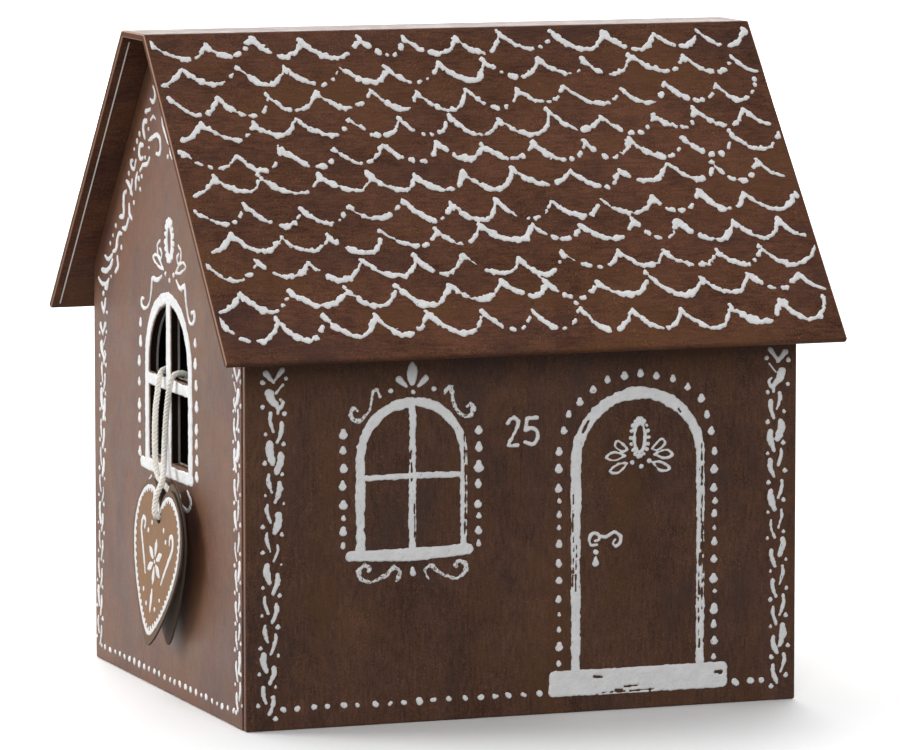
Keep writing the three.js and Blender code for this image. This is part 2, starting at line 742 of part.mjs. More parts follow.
const still = new THREE.Matrix4();
const house = new THREE.Group();
house.add(
  namedMesh("base", base(), wallPaper, still),
  namedMesh("wall_front", frontWall(), wallPaper, faces.front),
  namedMesh("wall_back", backWall(), wallPaper, faces.back),
  namedMesh("gable_left", gable("left", 1), gablePaper, faces.left),
  namedMesh("gable_right", gable("right", -1), gablePaper, faces.right),
);

const roof = new THREE.Group();
roof.add(
  namedMesh("roof_front", slopeBoard(7), roofPaper, faces.frontSlope),
  namedMesh("roof_back", slopeBoard(8), roofPaper, faces.backSlope),
  namedMesh("roof_ridge", ridgeStrip(), roofPaper, still),
);

const hanging = new THREE.Group();
hanging.add(
  namedMesh("cord", cord(), cotton, still),
  namedMesh("cord_knot", knot(), cotton, still),
  namedMesh("tag_front", tag(true), kraftPaper, tagMatrix(FRONT_TAG)),
  namedMesh("tag_back", tag(false), kraftPaper, tagMatrix(BACK_TAG)),
);

const group = new THREE.Group();
group.add(house, roof, hanging);

export default group;
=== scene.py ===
"""A toy gingerbread house: stiff board covered in printed brown paper, with raised white icing,
a gable window cut through in four panes, and two heart tags on a twisted cord.

Lengths are in millimetres until a mesh is made. A face of the house has u to its right, v up
and w out of the house."""
import math

import bpy
import numpy as np
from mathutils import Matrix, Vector, geometry


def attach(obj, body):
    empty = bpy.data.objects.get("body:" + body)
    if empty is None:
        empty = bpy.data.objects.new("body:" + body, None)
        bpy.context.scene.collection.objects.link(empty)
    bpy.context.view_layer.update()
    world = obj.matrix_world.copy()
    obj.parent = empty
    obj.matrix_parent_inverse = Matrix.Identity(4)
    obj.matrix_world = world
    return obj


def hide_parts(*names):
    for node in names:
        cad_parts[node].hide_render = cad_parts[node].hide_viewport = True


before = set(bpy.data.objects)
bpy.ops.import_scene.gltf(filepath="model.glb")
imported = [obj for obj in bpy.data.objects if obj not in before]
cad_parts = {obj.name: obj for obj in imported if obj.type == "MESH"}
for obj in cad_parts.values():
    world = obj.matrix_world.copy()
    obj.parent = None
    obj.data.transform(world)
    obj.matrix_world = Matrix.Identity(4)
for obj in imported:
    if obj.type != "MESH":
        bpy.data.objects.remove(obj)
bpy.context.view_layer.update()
MM = 0.001

# ---------------------------------------------------------------- camera

CAMERA_AT = (-0.927, -2.535, 0.444)
CAMERA_TURN = -20.19  # degrees to the right of +Y
CAMERA_DIP = 6.66
CAMERA_LENS = 257.96

camera_data = bpy.data.cameras.new("camera")
camera_data.sensor_width = 36
camera_data.lens = CAMERA_LENS
camera_data.clip_start = 0.05
camera_data.clip_end = 60
camera = bpy.data.objects.new("camera", camera_data)
camera.location = CAMERA_AT
camera.rotation_euler = (math.radians(90 - CAMERA_DIP), 0, math.radians(CAMERA_TURN))
bpy.context.scene.collection.objects.link(camera)
bpy.context.scene.camera = camera
bpy.context.scene.view_settings.view_transform = "Standard"

# ---------------------------------------------------------------- sizes of the house

WIDTH = 240
DEPTH = 205
WALL = 3
ROOF_LENGTH = 268.6
ROOF_BOARD = 2.8
RIDGE_WIDTH = 30.4
RIDGE_HEIGHT = 276.2
EAVE_REACH = 122.2
EAVE_HEIGHT = 151.7
CORNER_GAP = 1.8  # between the front wall's back and the gables' front edges

slope_run = EAVE_REACH - RIDGE_WIDTH / 2
slope_rise = RIDGE_HEIGHT - EAVE_HEIGHT
slope_length = math.hypot(slope_run, slope_rise)
cosine = slope_run / slope_length
sine = slope_rise / slope_length


def face_of(origin, right, up):
    """Origin and the three axes of a face"""
    right, up = np.array(right, float), np.array(up, float)
    return np.array(origin, float), np.stack([right, up, np.cross(right, up)])


def raised(face, height):
    """The face moved along its own outward axis"""
    origin, axes = face
    return origin + height * axes[2], axes


FRONT = face_of((0, -DEPTH / 2, 0), (1, 0, 0), (0, 0, 1))
BACK = face_of((0, DEPTH / 2, 0), (-1, 0, 0), (0, 0, 1))
LEFT = face_of((-WIDTH / 2, 0, 0), (0, -1, 0), (0, 0, 1))
RIGHT = face_of((WIDTH / 2, 0, 0), (0, 1, 0), (0, 0, 1))
ROOF_FRONT = face_of((0, -RIDGE_WIDTH / 2, RIDGE_HEIGHT), (1, 0, 0), (0, cosine, sine))
ROOF_BACK = face_of((0, RIDGE_WIDTH / 2, RIDGE_HEIGHT), (-1, 0, 0), (0, -cosine, sine))

# ---------------------------------------------------------------- materials


class Paint:
    """A material built from nodes, on the object's own coordinates"""

    def __init__(self, name):
        self.material = bpy.data.materials.new(name)
        self.material.use_nodes = True
        self.tree = self.material.node_tree
        self.shader = self.tree.nodes["Principled BSDF"]
        self.place = self.add("ShaderNodeTexCoord").outputs["Object"]

    def add(self, kind, inputs=None, **settings):
        node = self.tree.nodes.new(kind)
        for key, value in settings.items():
            setattr(node, key, value)
        for key, value in (inputs or {}).items():
            if isinstance(value, bpy.types.NodeSocket):
                self.tree.links.new(value, node.inputs[key])
            else:
                node.inputs[key].default_value = value
        return node

    def noise(self, size, stretch=(1, 1, 1), detail=3, roughness=0.5):
        """Noise with lumps of that size, drawn out along the axes by stretch"""
        scale = [1 / (MM * size * share) for share in stretch]
        mapped = self.add("ShaderNodeMapping", {"Vector": self.place, "Scale": scale})
        inputs = {"Vector": mapped.outputs[0], "Scale": 1, "Detail": detail, "Roughness": roughness}
        return self.add("ShaderNodeTexNoise", inputs).outputs["Fac"]

    def between(self, value, low, high, least=0.0, most=1.0):
        """Least where value is below low, most where it is above high"""
        inputs = {"Value": value, 1: low, 2: high, 3: least, 4: most}
        return self.add("ShaderNodeMapRange", inputs).outputs[0]

    def sum(self, *weighted):
        """Values times their weights, added up"""
        total = 0.0
        for value, weight in weighted:
            node = self.add("ShaderNodeMath", {0: value, 1: weight, 2: total}, operation="MULTIPLY_ADD")
            total = node.outputs[0]
        return total

    def mix(self, share, first, second):
        """A blend of two colours, each of them a socket or red, green and blue"""
        first, second = (c if isinstance(c, bpy.types.NodeSocket) else (*c, 1) for c in (first, second))
        inputs = {0: share, 6: first, 7: second}  # 6 and 7 are the node's colour sockets
        return self.add("ShaderNodeMix", inputs, data_type="RGBA").outputs[2]

    def finish(self, color, roughness, height, depth, **uniform):
        """Joins colour, roughness and a bump of that depth to the shader"""
        inputs = {"Height": height, "Strength": 1.0, "Distance": depth * MM}
        normal = self.add("ShaderNodeBump", inputs).outputs[0]
        for key, value in (("Base Color", color), ("Roughness", roughness), ("Normal", normal)):
            self.tree.links.new(value, self.shader.inputs[key])
        for key, value in uniform.items():
            self.shader.inputs[key.replace("_", " ")].default_value = value
        return self.material


def paper(name, grain, gloss, dark, light, golden, bluish):
    """Printed brown paper: clouds, golden and bluish patches, a fine grain and golden specks"""
    paint = Paint(name)
    clouds = paint.noise(34, grain, detail=4, roughness=0.55)
    patches = paint.noise(9, detail=5, roughness=0.62)
    streaks = paint.noise(1.1, [1 + 4 * (g - 1) for g in grain], detail=3, roughness=0.6)
    fibres = paint.noise(0.55, detail=2, roughness=0.6)
    tone = paint.sum((clouds, 0.42), (patches, 0.3), (streaks, 0.5), (fibres, 0.6))
    color = paint.mix(paint.between(tone, 0.70, 1.12), dark, light)
    warm = paint.noise(26, grain, detail=4, roughness=0.6)
    color = paint.mix(paint.between(warm, 0.5, 0.68, 0, 0.75), color, golden)
    color = paint.mix(paint.between(warm, 0.34, 0.48, 0.6, 0), color, bluish)
    scattered = paint.between(paint.noise(14, detail=4, roughness=0.6), 0.4, 0.62, 0, 0.7)
    specks = paint.between(paint.noise(0.75, detail=2, roughness=0.7), 0.56, 0.68)
    share = paint.add("ShaderNodeMath", {0: scattered, 1: specks}, operation="MULTIPLY").outputs[0]
    color = paint.mix(share, color, [2.2 * x for x in golden])
    roughness = paint.between(patches, 0.3, 0.7, 0.42, 0.54)
    height = paint.sum((streaks, 0.6), (fibres, 0.9), (patches, 0.5))
    return paint.finish(color, roughness, height, 0.06, Specular_IOR_Level=gloss)


WORN_THROUGH = (0.10, 0.06, 0.042)


def icing_white(name, flecks, size=1.3, stretch=2.4, white=0.81):
    """White icing: a little grey in places, with dark flecks where it has worn thin"""
    paint = Paint(name)
    clouds = paint.noise(5, detail=3)
    wrinkles = paint.noise(1.7, detail=4, roughness=0.6)
    grain = paint.noise(0.6, detail=3)
    color = paint.mix(paint.between(clouds, 0.35, 0.65), [0.9 * white] * 3, [white] * 3)
    worn = paint.noise(size, (1, 1, stretch), detail=4, roughness=0.7)
    color = paint.mix(paint.between(worn, flecks, flecks + 0.04), color, WORN_THROUGH)
    roughness = paint.between(clouds, 0.3, 0.7, 0.5, 0.62)
    return paint.finish(color, roughness, paint.sum((clouds, 0.7), (wrinkles, 0.9), (grain, 0.4)), 0.5)


def card(name, dark, light):
    """Kraft card: a warm ground with short fibres lighter and darker than it"""
    paint = Paint(name)
    clouds = paint.noise(9, detail=4)
    fibres = paint.noise(0.6, (1, 3, 1), detail=3, roughness=0.7)
    crossed = paint.noise(0.6, (1, 1, 3), detail=3, roughness=0.7)
    tone = paint.sum((clouds, 0.5), (fibres, 0.4), (crossed, 0.4))
    color = paint.mix(paint.between(tone, 0.52, 0.8), dark, light)
    roughness = paint.between(clouds, 0.3, 0.7, 0.7, 0.85)
    return paint.finish(color, roughness, paint.sum((fibres, 1.0), (crossed, 1.0)), 0.06)


def cotton_yarn(name):
    """Undyed cotton with darker fibres along it"""
    paint = Paint(name)
    clouds = paint.noise(3, detail=2)
    fibres = paint.noise(0.16, (1, 1, 4), detail=3, roughness=0.7)
    color = paint.mix(paint.between(clouds, 0.3, 0.7), (0.96, 0.92, 0.83), (0.98, 0.95, 0.88))
    color = paint.mix(paint.between(fibres, 0.3, 0.6, 0.08, 0), color, (0.62, 0.50, 0.36))
    roughness = paint.between(fibres, 0.2, 0.8, 0.8, 0.95)
    return paint.finish(color, roughness, fibres, 0.08, Sheen_Weight=0.5)


def plain_board(name, dark, light, gloss=0.5):
    """A cut edge, lining paper, a worn, pale edge with a painted highlight, or painted shade in window
    reveals and between the yarn's strands
    """
    paint = Paint(name)
    fibres = paint.noise(0.5, detail=3)
    color = paint.mix(paint.between(fibres, 0.3, 0.7), dark, light)
    roughness = paint.between(fibres, 0.2, 0.8, 0.7, 0.9)
    return paint.finish(color, roughness, fibres, 0.05, Specular_IOR_Level=gloss)


UPRIGHT_GRAIN = (1, 1, 2.2)
LEVEL_GRAIN = (2.2, 1, 1)
WALL_PAPER = paper(
    "wall paper", UPRIGHT_GRAIN, gloss=0.12, dark=(0.031, 0.015, 0.0098), light=(0.126, 0.060, 0.038),
    golden=(0.088, 0.040, 0.018), bluish=(0.048, 0.028, 0.025),
)
# The wall's print made lighter for the gables: painted light for the light that falls on them
LIT_GABLE_PAPER = paper(
    "gable paper with painted light", UPRIGHT_GRAIN, gloss=0.24, dark=(0.058, 0.025, 0.014), light=(0.225, 0.100, 0.060),
    golden=(0.165, 0.074, 0.031), bluish=(0.095, 0.050, 0.043),
)
ROOF_PAPER = paper(
    "roof paper", LEVEL_GRAIN, gloss=0.08, dark=(0.033, 0.013, 0.0075), light=(0.168, 0.069, 0.040),
    golden=(0.115, 0.049, 0.020), bluish=(0.056, 0.027, 0.022),
)
ICING = icing_white("icing", flecks=0.72, white=0.92)
WORN_ICING = icing_white("worn icing", flecks=0.66)
ROUGH_ICING = icing_white("rough icing", flecks=0.545, size=0.9, stretch=1.2)
KRAFT = card("kraft card", (0.205, 0.105, 0.049), (0.287, 0.154, 0.074))
# Darker card: the real rim round the front tag's print, and painted shade over the whole back tag
KRAFT_RIM_AND_SHADE = card("kraft rim and painted shade", (0.095, 0.054, 0.029), (0.145, 0.086, 0.048))
CARD_EDGE = plain_board("card edge", (0.035, 0.021, 0.014), (0.06, 0.036, 0.024))
TAG_WHITE = icing_white("tag print", flecks=0.8)
COTTON = cotton_yarn("cotton cord")
# Grey lining behind the gable windows: its rim round the panes is partly a painted highlight
GREY_LINING_HIGHLIGHT = plain_board("grey lining with painted highlight", (0.20, 0.19, 0.18), (0.34, 0.33, 0.32))
WHITE_EDGE = plain_board("white edge", (0.82, 0.80, 0.77), (0.94, 0.92, 0.89))
# Pale band for the roof's rounded end edges: worn paper and a painted highlight
WORN_EDGE_HIGHLIGHT = plain_board("worn edge with painted highlight", (0.32, 0.185, 0.13), (0.44, 0.26, 0.19), gloss=0.2)
ROOF_END = plain_board("roof end", (0.09, 0.042, 0.025), (0.135, 0.066, 0.039), gloss=0.1)
# Near-black for the window reveals: painted shade where no light reaches
REVEAL_SHADE_PAINT = plain_board("painted reveal shade", (0.006, 0.004, 0.003), (0.012, 0.008, 0.006), gloss=0.05)
# A dark tube inside the cord: painted shade in the valleys between its strands
STRAND_SHADE_PAINT = plain_board("painted shade between strands", (0.26, 0.20, 0.14), (0.38, 0.30, 0.21), gloss=0.1)

# ---------------------------------------------------------------- meshes


def add_piece(name, points, triangles, material, slot, smooth=False):
    """A mesh from points in millimetres and triangles, riding on the house"""
    mesh = bpy.data.meshes.new(name)
    mesh.from_pydata((points * MM).tolist(), [], triangles.tolist(), shade_flat=not smooth)
    mesh.materials.append(material)
    piece = bpy.data.objects.new(name, mesh)
    bpy.context.scene.collection.objects.link(piece)
    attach(piece, "root")
    return piece


def on_face(face, points):
    origin, axes = face
    return origin + np.asarray(points, float) @ axes


def through(points, steps):
    """A smooth line through the points, with that many steps between each two"""
    points = np.asarray(points, float)
    longer = np.concatenate([2 * points[:1] - points[1:2], points, 2 * points[-1:] - points[-2:-1]])
    t = np.linspace(0, 1, steps, endpoint=False)[:, None]
    parts = []
    for a, b, c, d in zip(longer, longer[1:], longer[2:], longer[3:]):
        bend = (2 * a - 5 * b + 4 * c - d) * t**2 + (3 * b - a - 3 * c + d) * t**3
        parts.append(b + 0.5 * ((c - a) * t + bend))
    return np.concatenate([*parts, points[-1:]])


def evenly(line, spacing):
    """The same line with its points that far apart"""
    walked = np.concatenate([[0], np.cumsum(np.linalg.norm(np.diff(line, axis=0), axis=1))])
    count = max(2, round(walked[-1] / spacing))
    marks = np.linspace(0, walked[-1], count + 1)
    return np.stack([np.interp(marks, walked, column) for column in line.T], axis=1), walked[-1]


def carried(along):
    """Two unit vectors across each direction of a path, which turn as little as they can"""
    normal = np.cross(along[0], (0.3, 0.2, 0.9))  # any direction that no path starts along
    normals = []
    for way in along:
        normal = normal - way * (normal @ way)
        normal /= np.linalg.norm(normal)
        normals.append(normal)
    return np.array(normals), np.cross(along, normals)


def tube(path, radius, sides, closed=False):
    """Points and triangles of a round tube along the path"""
    count = len(path)
    before, after = np.roll(path, 1, axis=0), np.roll(path, -1, axis=0)
    if not closed:
        before[0], after[-1] = path[0], path[-1]
    along = after - before
    along /= np.linalg.norm(along, axis=1)[:, None]
    angles = (2 * np.pi * np.arange(sides) / sides)[:, None]
    rings = []
    for here, normal, side in zip(path, *carried(along)):
        rings.append(here + radius * (np.cos(angles) * normal + np.sin(angles) * side))
    points = np.concatenate(rings)
    triangles = []
    for i in range(count if closed else count - 1):
        low, high = i * sides, ((i + 1) % count) * sides
        for k in range(sides):
            n = (k + 1) % sides
            triangles += [(low + k, low + n, high + n), (low + k, high + n, high + k)]
    if not closed:
        last = (count - 1) * sides
        for k in range(1, sides - 1):
            triangles += [(0, k + 1, k), (last, last + k, last + k + 1)]
    return points, np.array(triangles)


def together(parts):
    """Several pairs of points and triangles as one"""
    points, triangles, shift = [], [], 0
    for part_points, part_triangles in parts:
        points.append(part_points)
        triangles.append(np.asarray(part_triangles) + shift)
        shift += len(part_points)
    return np.concatenate(points), np.concatenate(triangles)


STRAND_SIDES = 9
STRAND_STEP = 0.36


def twisted(route, diameter, lay, closed=False):
    """Three strands laid round a route; returns points, triangles, the centre line and its length"""
    centre, length = evenly(route, STRAND_STEP)
    if closed:
        centre = centre[:-1]
    radius = diameter / 2
    strand_radius = 0.49 * radius
    offset = radius - strand_radius
    along = np.gradient(centre, axis=0)
    along /= np.linalg.norm(along, axis=1)[:, None]
    normals, sides = carried(along)
    turns = np.arange(len(centre)) * (length / len(centre)) / lay
    if closed:
        turns *= round(turns[-1]) / turns[-1]
    strands = []
    for strand in range(3):
        angle = (2 * np.pi * (turns + strand / 3))[:, None]
        path = centre + offset * (np.cos(angle) * normals + np.sin(angle) * sides)
        strands.append(tube(path, strand_radius, STRAND_SIDES, closed))
    return *together(strands), centre, length


# ---------------------------------------------------------------- cord, knot and tags

CORD = 2.6  # diameter
CORD_LAY = 5.2  # along the cord for one turn of a strand
STRAND_SHADE_RADIUS = 0.35 * CORD  # radius of the dark tube between the strands: painted shade in their valleys
TAG = 0.9  # thickness
TAG_HOLE = 2.6  # radius
HEART = {"wide": 33.6, "top": 13.6, "lobe": 11.6, "notch": 4.8, "belly": -9.3, "tip": -54.5}
FRONT_TAG = {"hole": (-127.1, -13.3, 76.2), "lean": 4.3, "turn": -5.1, "yaw": 0.1}
BACK_TAG = {"hole": (-123.5, -11.2, 77), "lean": 0, "turn": 2.1, "yaw": 4.2}
KNOT_AT = (-112, -2.5, 129.2)
KNOT_SIZE = (1.5, 2.2, 0.75)  # flat against the wall

# Up from the knot, over the bar, down through both tags' holes, and back
CORD_ROUTE = [
    (-112.7, 5.4, 132.0), (-113.9, 6.4, 134.1), (-116.3, 7.0, 135.2), (-118.8, 6.4, 135.3),
    (-121.2, 4.2, 134.3), (-122.6, 2.8, 131.0), (-123.2, 2.7, 126.4), (-124.2, 2.4, 119.0),
    (-125.0, 1.1, 110.5), (-125.4, -0.2, 102.2), (-125.4, -1.2, 96.6), (-125.2, -2.8, 92.8),
    (-124.7, -5.4, 90.4), (-123.7, -8.4, 88.6), (-122.5, -10.2, 86.2), (-121.8, -10.7, 82.8),
    (-121.7, -10.9, 79.7), (-122.1, -11.1, 77.7), (-123.9, -11.3, 77.0), (-125.8, -12.3, 76.6),
    (-127.6, -13.3, 76.2), (-129.2, -13.4, 76.7), (-129.9, -13.5, 78.6), (-129.7, -13.5, 81.2),
    (-129.3, -13.6, 84.4), (-128.2, -13.8, 87.5), (-126.8, -13.3, 90.4), (-125.5, -12.0, 93.8),
    (-124.6, -10.0, 97.6), (-123.9, -8.3, 102.6), (-123.4, -7.9, 110.2), (-123.2, -9.2, 118.4),
    (-123.0, -11.4, 126.8), (-122.7, -13.0, 131.4), (-121.8, -12.9, 134.0), (-119.6, -12.0, 135.4),
    (-116.4, -11.2, 135.4), (-114.0, -10.6, 134.0), (-112.8, -10.2, 132.0),
]

points, triangles, centre_line, cord_length = twisted(through(CORD_ROUTE, 10), CORD, CORD_LAY)
cord = add_piece("twisted_cord", points, triangles, COTTON, "cotton", smooth=True)
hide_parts("cord")
# Inside the strands a dark tube shows in their valleys: painted shade
cord_shade_core = add_piece("cord_shade_core", *tube(centre_line, STRAND_SHADE_RADIUS, 8), STRAND_SHADE_PAINT, "cotton", smooth=True)
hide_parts("cord")

# A trefoil drawn tight
angle = np.linspace(0, 2 * np.pi, 90, endpoint=False)
trefoil = np.stack(
    [-np.sin(3 * angle), np.sin(angle) + 2 * np.sin(2 * angle), np.cos(angle) - 2 * np.cos(2 * angle)],
    axis=1,
)
knot_route = np.array(KNOT_AT) + trefoil * KNOT_SIZE
knot_route = np.concatenate([knot_route, knot_route[:1]])
points, triangles, _, _ = twisted(knot_route, CORD, CORD_LAY, closed=True)
knot = add_piece("twisted_knot", points, triangles, COTTON, "cotton", smooth=True)
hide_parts("cord_knot")


def turned(degrees, axis):
    """The matrix that turns row vectors about an axis"""
    c, s = math.cos(math.radians(degrees)), math.sin(math.radians(degrees))
    first, second = [(1, 2), (2, 0), (0, 1)][axis]
    matrix = np.eye(3)
    matrix[first, first] = matrix[second, second] = c
    matrix[first, second], matrix[second, first] = s, -s
    return matrix


def tag_face(hole, lean, turn, yaw):
    """The face of a tag that hangs from its hole"""
    spin = turned(-turn, 0) @ turned(lean, 1) @ turned(-yaw, 2)
    axes = np.array([(0, -1, 0), (0, 0, 1), (-1, 0, 0)], float) @ spin
    return np.array(hole) + np.array((-TAG, 0, 0)) @ spin, axes


def bezier(a, b, c, d, steps):
    """A cubic curve from a towards d, without its last point"""
    t = np.linspace(0, 1, steps, endpoint=False)[:, None]
    a, b, c, d = (np.array(p, float) for p in (a, b, c, d))
    return (1 - t) ** 3 * a + 3 * (1 - t) ** 2 * t * b + 3 * (1 - t) * t**2 * c + t**3 * d


def heart(inset=0, steps=14):
    """The outline of a tag round its hole; inset moves it in from the edge"""
    wide, top, lobe = HEART["wide"] - inset, HEART["top"] - inset, HEART["lobe"]
    notch, belly, tip = HEART["notch"] - 0.9 * inset, HEART["belly"], HEART["tip"] + 1.5 * inset
    half = [
        bezier((0, tip), (7, tip), (wide, belly - 16), (wide, belly), steps),
        bezier((wide, belly), (wide, belly + 12), (lobe + 10, top), (lobe, top), steps),
        bezier((lobe, top), (8, top), (3, notch + 4.5), (0, notch), steps),
    ]
    right = np.concatenate([*half, [(0, notch)]])
    return np.concatenate([right, (right * (-1, 1))[::-1][1:-1]])


def circle(u, v, radius, steps):
    angles = 2 * np.pi * np.arange(steps) / steps
    return np.stack([u + radius * np.cos(angles), v + radius * np.sin(angles)], axis=1)


# ---------------------------------------------------------------- boards


def inward(loop):
    """For each corner of a loop, how far it moves when its sides move 1 to their left"""
    sides = np.roll(loop, -1, axis=0) - loop
    sides /= np.linalg.norm(sides, axis=1)[:, None]
    lefts = np.stack([-sides[:, 1], sides[:, 0]], axis=1)
    total = lefts + np.roll(lefts, 1, axis=0)
    return total * 2 / np.maximum((total**2).sum(axis=1), 0.4)[:, None]


def area(loop):
    """Above 0 where the loop runs anticlockwise"""
    after = np.roll(loop, -1, axis=0)
    return 0.5 * np.sum(loop[:, 0] * after[:, 1] - loop[:, 1] * after[:, 0])


def board(outline, holes, thickness, edge, steps=4):
    """A sheet under w = 0 with its edges rounded; returns points (u, v, w) and triangles"""
    loops = [np.asarray(loop, float) for loop in [outline, *holes]]
    loops = [loop if (area(loop) > 0) == (k == 0) else loop[::-1] for k, loop in enumerate(loops)]
    angles = np.linspace(0, np.pi / 2, steps + 1)
    levels = [(edge * (1 - math.sin(a)), -edge * (1 - math.cos(a))) for a in angles]
    levels += [(inset, -thickness - w) for inset, w in reversed(levels)]
    points, triangles, starts = [], [], []
    for loop in loops:
        start = len(points)
        starts.append(start)
        count = len(loop)
        moves = inward(loop)
        for inset, w in levels:
            points += [(u, v, w) for u, v in loop + inset * moves]
        for level in range(len(levels) - 1):
            high, low = start + level * count, start + (level + 1) * count
            for k in range(count):
                n = (k + 1) % count
                triangles += [(high + k, low + k, low + n), (high + k, low + n, high + n)]
    for level, side in ((0, 1), (len(levels) - 1, -1)):
        rims = [range(s + level * len(p), s + (level + 1) * len(p)) for s, p in zip(starts, loops)]
        index = [i for rim in rims for i in rim]
        flat = [[Vector((points[i][0], points[i][1], 0)) for i in rim] for rim in rims]
        for a, b, c in geometry.tessellate_polygon(flat):
            a, b, c = index[a], index[b], index[c]
            (ua, va, _), (ub, vb, _), (uc, vc, _) = points[a], points[b], points[c]
            facing = (ub - ua) * (vc - va) - (vb - va) * (uc - ua)
            triangles.append((a, b, c) if facing * side > 0 else (a, c, b))
    return np.array(points), np.array(triangles)


CORNER_STEPS = 5


def rounded(corners):
    """An outline from corners (u, v, radius)"""
    outline = []
    for i, (u, v, radius) in enumerate(corners):
        here = np.array((u, v), float)
        if not radius:
            outline.append(here)
            continue
        before = np.array(corners[i - 1][:2]) - here
        after = np.array(corners[(i + 1) % len(corners)][:2]) - here
        before, after = before / np.linalg.norm(before), after / np.linalg.norm(after)
        half = math.acos(float(before @ after)) / 2
        middle = here + (before + after) / np.linalg.norm(before + after) * radius / math.sin(half)
        start = here + before * radius / math.tan(half) - middle
        end = here + after * radius / math.tan(half) - middle
        first = math.atan2(start[1], start[0])
        sweep = (math.atan2(end[1], end[0]) - first + math.pi) % (2 * math.pi) - math.pi
        for k in range(CORNER_STEPS + 1):
            angle = first + sweep * k / CORNER_STEPS
            outline.append(middle + radius * np.array((math.cos(angle), math.sin(angle))))
    return np.array(outline)


def rectangle(left, right, low, high, radius=0.0):
    return rounded([(left, low, radius), (right, low, radius), (right, high, radius), (left, high, radius)])


ARCH_STEPS = 12


def panes(centre, half, foot, spring, upright, bar, inset=0.0):
    """The four panes of an arched opening, parted by an upright and a bar"""
    inner, half = upright / 2 + inset, half - inset
    foot, low, high = foot + inset, bar[0] - inset, bar[1] + inset
    steepest = math.acos(inner / half)
    angles = [steepest * k / ARCH_STEPS for k in range(ARCH_STEPS + 1)]
    lower = [(inner, foot), (half, foot), (half, low), (inner, low)]
    upper = [(inner, high), (half, high)]
    upper += [(half * math.cos(a), spring + half * math.sin(a)) for a in angles]
    return [[(centre + side * u, v) for u, v in pane] for side in (-1, 1) for pane in (lower, upper)]


def under_roof(reach):
    """Height of the roof's underside that far from the middle"""
    drop = ROOF_BOARD / cosine
    return RIDGE_HEIGHT - max((reach - RIDGE_WIDTH / 2) * sine / cosine + drop, ROOF_BOARD)


def add_board(name, face, shape, material, slot, *nodes):
    points, triangles = shape
    piece = add_piece(name, on_face(face, points), triangles, material, slot)
    if nodes:
        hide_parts(*nodes)
    return piece


CLEARANCE = 0.1  # between boards that meet
FLOOR_GAP = 0.3  # round the floor
FRONT_EDGE = 0.7  # how round the edges of the wrapped boards are
GABLE_EDGE = 0.5
FLOOR_EDGE = 0.4
ROOF_EDGE = 0.8
GABLE_CENTRE = 2.5  # of the window, towards the front
GABLE_PANES = {"half": 26, "foot": 97.5, "spring": 136.5, "upright": 7, "bar": (127, 133)}
LINING_SHEET = 0.8  # thickness
LINING_STEP = 0.35  # the lining shows that far in from the paper, as a grey line that is partly a painted highlight on the board's inner edge
LINING_HALF = 33
LINING_FOOT = 91
LINING_TOP = 169

wall_top = under_roof(DEPTH / 2) - CLEARANCE
shape = board(rectangle(-WIDTH / 2, WIDTH / 2, 0, wall_top, 0.8), [], WALL, FRONT_EDGE)
front_board = add_board("front_board", FRONT, shape, WALL_PAPER, "wall_paper", "wall_front")

inner = WIDTH / 2 - WALL - CLEARANCE
shape = board(rectangle(-inner, inner, 0, wall_top), [], WALL, 0.15, 1)
add_board("back_board", BACK, shape, WALL_PAPER, "wall_paper", "wall_back")


def paint_where(piece, face, material, chosen):
    """Gives one more material to the faces that chosen(place, out) picks, in the face's own axes"""
    origin, axes = face
    piece.data.materials.append(material)
    for polygon in piece.data.polygons:
        place = axes @ (np.array(polygon.center) / MM - origin)
        if chosen(place, axes @ np.array(polygon.normal)):
            polygon.material_index = len(piece.data.materials) - 1


def in_shaded_reveal(place, out):
    """The sides of a gable window's holes, apart from the sill: these are painted near-black as shade"""
    above_sill = GABLE_PANES["foot"] + 1.5 < place[1] < LINING_TOP
    return above_sill and abs(place[0]) < LINING_HALF and abs(out[2]) < 0.5


shoulder = RIDGE_WIDTH / 2 - ROOF_BOARD * (1 - cosine) / sine  # of the roof's underside
front_edge = DEPTH / 2 - WALL - CORNER_GAP
for face, side, name in ((LEFT, 1, "gable_left"), (RIGHT, -1, "gable_right")):
    outline = [(-DEPTH / 2, 0), (front_edge, 0), (front_edge, under_roof(front_edge))]
    outline += [(shoulder, under_roof(0)), (-shoulder, under_roof(0)), (-DEPTH / 2, wall_top)]
    outline = [(side * u, v) for u, v in outline]
    centre = side * GABLE_CENTRE
    shape = board(outline, panes(centre, **GABLE_PANES), WALL, GABLE_EDGE)
    # The gables take the lightened paper: painted light
    piece = add_board(name + "_board", face, shape, LIT_GABLE_PAPER, "wall_paper", name)
    # The reveals take the near-black paint: painted shade
    paint_where(piece, face, REVEAL_SHADE_PAINT, in_shaded_reveal)
    # The lining's rim shows round each pane: lining paper, and a painted highlight on the board's inner
    # edge
    sheet = rectangle(centre - LINING_HALF, centre + LINING_HALF, LINING_FOOT, LINING_TOP, 3)
    shape = board(sheet, panes(centre, **GABLE_PANES, inset=LINING_STEP), LINING_SHEET, 0.1, 1)
    add_board(name + "_lining", raised(face, -WALL), shape, GREY_LINING_HIGHLIGHT, "wall_paper")

# The front board's end edges take the gables' paper: as glossy as the gables, and as light, which is
# painted light
paint_where(front_board, FRONT, LIT_GABLE_PAPER, lambda place, out: abs(out[0]) > 0.8)

u, v = WIDTH / 2 - WALL - FLOOR_GAP, DEPTH / 2 - WALL - FLOOR_GAP
shape = board(rectangle(-u, u, -v, v), [], WALL, FLOOR_EDGE)
floor_face = face_of((0, 0, WALL), (1, 0, 0), (0, 1, 0))
add_board("floor_board", floor_face, shape, WALL_PAPER, "wall_paper", "base")

